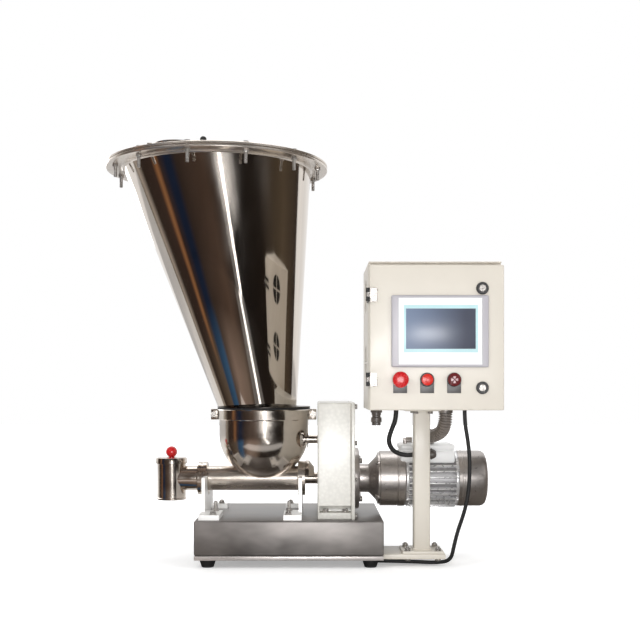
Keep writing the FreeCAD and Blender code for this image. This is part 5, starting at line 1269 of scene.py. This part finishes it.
class FEEDER_OT_controls(bpy.types.Operator):
    """Stop button, lit button, lamp, collars, bare plates and the quarter-turn locks"""

    bl_idname = "feeder.controls"
    bl_label = "Controls"

    def execute(self, context):
        face = low("cabinet_door").y
        stop, lit, lamp = middle("estop_head"), middle("start_button"), middle("pilot_lamp")
        collars, plates = [], []
        for spot in (stop, lit, lamp):
            at = (spot.x, face - 1, spot.z)
            collars.append(ringed("control_collar", "Y", at, [(10.2, 0), (15, 0), (15, -4.2),
                (14.4, -5), (13.4, -5), (13.1, -0.6), (10.2, -0.6)], 48))
            tail = box("legend_tail", (spot.x - 15, face - 1, spot.z - 29),
                (spot.x + 15, face, spot.z), 0.4)
            hole = lathe("legend_hole", "Y", (spot.x, face, spot.z), [(15, 5), (15, -5)], 48)
            plates += [cut_with(tail, hole), ringed("legend_round", "Y", (spot.x, face, spot.z),
                [(10.2, 0), (15.3, 0), (15.3, -1), (10.2, -1)], 48)]
        finished(joined("legend_set", *plates), "plate", "door", "legend_plates")
        locks = []
        for name in ("lock_upper", "lock_lower"):
            centre = self.make_lock(name, face)
            locks.append(ringed("lock_bezel", "Y", (centre.x, face, centre.z),
                [(8.3, 0), (13.5, 0), (13.5, -2), (12, -4), (8.3, -4)], 48))
        finished(joined("collar_set", *collars, *locks), "black", "door", "control_collars")
        self.make_heads(face, stop, lit, lamp)
        return {"FINISHED"}

    def make_lock(self, name, face):
        """One lock core with its key slot and its cam."""
        centre = Vector((middle(name).x, face, low(name).z + 8))
        back = high(name).y
        core = lathe(name + "_barrel", "Y", centre, [(6.8, -5), (8, -4), (8, 14), (4, 14),
            (4, back - face)], 36)
        cut_with(core, box(name + "_slot", centre + Vector((-1.1, -8, -5)),
            centre + Vector((1.1, -2, 5)), 0))
        cam = box(name + "_cam", (centre.x - 8, back - 3, centre.z - 8),
            (centre.x + 8, back, high(name).z), 1)
        finished(joined(name + "_turned", core, cam), "bolt", name.split("_")[1] + "_lock", name)
        return centre

    def make_heads(self, face, stop, lit, lamp):
        """Mushroom head, lit button and faceted lamp."""
        front = face - 6
        head = lathe("stop_mushroom", "Y", (stop.x, front, stop.z),
            [(9.6, 14), (9.6, -5), (13, -5.2), (16.8, -7), (17.5, -9.5), (17.2, -12.5),
            (15.4, -15.6), (11, -17.4), (5, -18), (0, -18)], 56)
        finished(head, "red", "stop_button", "estop_head", smooth=50)
        button = lathe("lit_button_lens", "Y", (lit.x, front, lit.z),
            [(9.6, 16), (9.6, 1.0), (12.6, 0.4), (12.6, -1.6), (11.8, -2.8), (8, -3.5), (0, -3.7)],
            48)
        finished(button, "lens", "lit_button", "start_button", smooth=40)
        dome = lathe("lamp_dome", "Y", (lamp.x, front, lamp.z), [(9.6, 17), (9.6, 0), (13.2, 0),
            (14.4, -0.2), (14.2, -1.2), (11.5, -2.6), (6, -3.5), (0, -3.8)], 48)
        finished(dome, "lamp", "door", "pilot_lamp", smooth=40)
        petal = box("lamp_petal", (lamp.x - 1.6, front - 4, lamp.z + 2),
            (lamp.x + 1.6, front - 2, lamp.z + 7.5), 0.5, 2)
        scaled(petal, lambda co: co.z > lamp.z + 5, (1.9, 1, 1), (lamp.x, front, lamp.z + 7))
        petals = turned_copies(petal, 4, "Y", (lamp.x, front, lamp.z))
        finished(joined("lamp_facets", *petals), "petal", "door")


class FEEDER_OT_glands(bpy.types.Operator):
    """The empty gland, the grommets and the elbow fittings on the terminal box"""

    bl_idname = "feeder.glands"
    bl_label = "Glands"

    def execute(self, context):
        under = low("cabinet_body").z
        spot = (197, -230, under)
        nut = hexagon("spare_nut", "Z", spot, 14.5, (-7, -0.1))
        body = ringed("spare_body", "Z", spot, [(5.5, 10), (8.5, 10), (8.5, -6.5), (10.5, -7),
            (10.5, -12), (9.4, -13), (9.4, -17), (11.6, -18.5), (12.2, -27), (10.4, -29),
            (5.5, -29)], 40)
        claw = box("spare_claw", (spot[0] - 1.6, spot[1] + 7, under - 36),
            (spot[0] + 1.6, spot[1] + 9.8, under - 28), 0.7, 2)
        pieces = [nut, body, *turned_copies(claw, GLAND_CLAWS, "Z", spot)]
        for route, size in ((MOTOR_CABLE, MOTOR_CABLE_SIZE), (CELL_CABLE, CELL_CABLE_SIZE)):
            at, r = (*route[0][:2], under), size / 2
            pieces.append(ringed("grommet", "Z", at, [(r, -0.1), (r + 4, -0.1), (r + 4, -1.6),
                (r + 1.5, -3), (r, -3)], 36))
        pieces += self.make_motor_elbow()
        finished(joined("moulded_glands", *pieces), "gland", "machine", "cable_glands")
        self.make_conduit_ends(under)
        return {"FINISHED"}

    def make_motor_elbow(self):
        """The elbow gland that takes the motor cable at the terminal box's front."""
        wall = low("terminal_box").y
        x, y, z = MOTOR_CABLE[-1]
        turn = x + 14
        nut = hexagon("elbow_nut", "Y", (turn, wall, z), 13.5, (-7, -0.1))
        drop = lathe("elbow_drop", "Y", (turn, wall, z), [(9.5, y - wall), (9.5, -6)], 36)
        knee = ball("elbow_knee", (turn, y, z), 9.6, 32, 20)
        cap = ringed("elbow_cap", "X", (x, y, z), [(5.7, -4), (8, -4), (9.5, -2), (9.5, 14),
            (5.7, 14)], 36)
        return [nut, drop, knee, cap]

    def make_conduit_ends(self, under):
        """The conduit's upper nut, its elbow on the terminal box and the small gland beside it."""
        top = high("terminal_box").z
        x, y, z = CONDUIT[0]
        upper = ringed("conduit_top", "Z", (x, y, under), [(14.3, -0.1), (17, -0.1), (17, -10),
            (16, -12), (14.3, -12)], 40)
        x, y, z = CONDUIT[-1]
        bend = y + 15
        parts = [upper, lathe("bend_drop", "Z", (x, bend, top), [(12, 0.1), (12, z - top)], 40),
            ball("bend_knee", (x, bend, z), 12.1, 36, 22), lathe("bend_body", "Y", (x, y, z),
            [(12, 0), (12, 15)], 40), ringed("bend_nut", "Y", (x, y, z),
            [(14.3, -8), (16, -8), (17, -6), (17, 4), (14.3, 4)], 40),
            hexagon("bend_hex", "Z", (x, bend, top), 16, (0.1, 5))]
        side = low("terminal_box").x + 14
        at = (side, -20, top + 9)
        parts += [lathe("side_drop", "Z", (side, -20, top), [(5, 0.1), (5, 11)], 28),
            hexagon("side_hex", "X", at, 8, (2, 17)), lathe("side_turn", "X", at,
            [(4, -5), (5, -4), (5, 3)], 28)]
        finished(joined("conduit_fittings", *parts), "silver", "machine")


class FEEDER_OT_fittings(bpy.types.Operator):
    """Finishes of the shafts, gears and brackets that stay as packed"""

    bl_idname = "feeder.fittings"
    bl_label = "Fittings"

    def execute(self, context):
        dress("satin", "barrel_bracket_front", "barrel_bracket_rear")
        dress("turned", "feed_screw", "agitator", "coupling_guard")
        dress("gear", "screw_gear", "agitator_gear", "shaft_bearings")
        return {"FINISHED"}


class FEEDER_PT_panel(bpy.types.Panel):
    """Sizes, colours and building steps in the sidebar"""

    bl_label = "Loss-in-weight Feeder"
    bl_idname = "FEEDER_PT_panel"
    bl_space_type = "VIEW_3D"
    bl_region_type = "UI"
    bl_category = "Feeder"

    def draw(self, context):
        for group in (context.scene.feeder_sizes, context.scene.feeder_colours):
            for name in group.__annotations__:
                self.layout.prop(group, name)
        for operator in STEPS:
            self.layout.operator(operator.bl_idname)


STEPS = (
    FEEDER_OT_stage, FEEDER_OT_cables, FEEDER_OT_conduit, FEEDER_OT_hopper, FEEDER_OT_lid,
    FEEDER_OT_inlet_cover, FEEDER_OT_lid_bolts, FEEDER_OT_bowl, FEEDER_OT_barrel,
    FEEDER_OT_platform, FEEDER_OT_frame_bolts, FEEDER_OT_housing, FEEDER_OT_drive, FEEDER_OT_post,
    FEEDER_OT_cabinet, FEEDER_OT_door, FEEDER_OT_controls, FEEDER_OT_glands, FEEDER_OT_fittings,
)
CLASSES = (FeederSizes, FeederColours, *STEPS, FEEDER_PT_panel)


def register():
    """Registers the classes and the scene's two property groups."""
    for item in CLASSES:
        bpy.utils.register_class(item)
    bpy.types.Scene.feeder_sizes = PointerProperty(type=FeederSizes)
    bpy.types.Scene.feeder_colours = PointerProperty(type=FeederColours)


def unregister():
    """Takes the property groups and the classes away again."""
    del bpy.types.Scene.feeder_colours
    del bpy.types.Scene.feeder_sizes
    for item in reversed(CLASSES):
        bpy.utils.unregister_class(item)


def main():
    """Builds every piece in order."""
    register()
    make_finishes(bpy.context.scene.feeder_colours)
    for operator in STEPS:
        family, name = operator.bl_idname.split(".")
        getattr(getattr(bpy.ops, family), name)()
    start_clean()


if __name__ == "__main__":
    main()
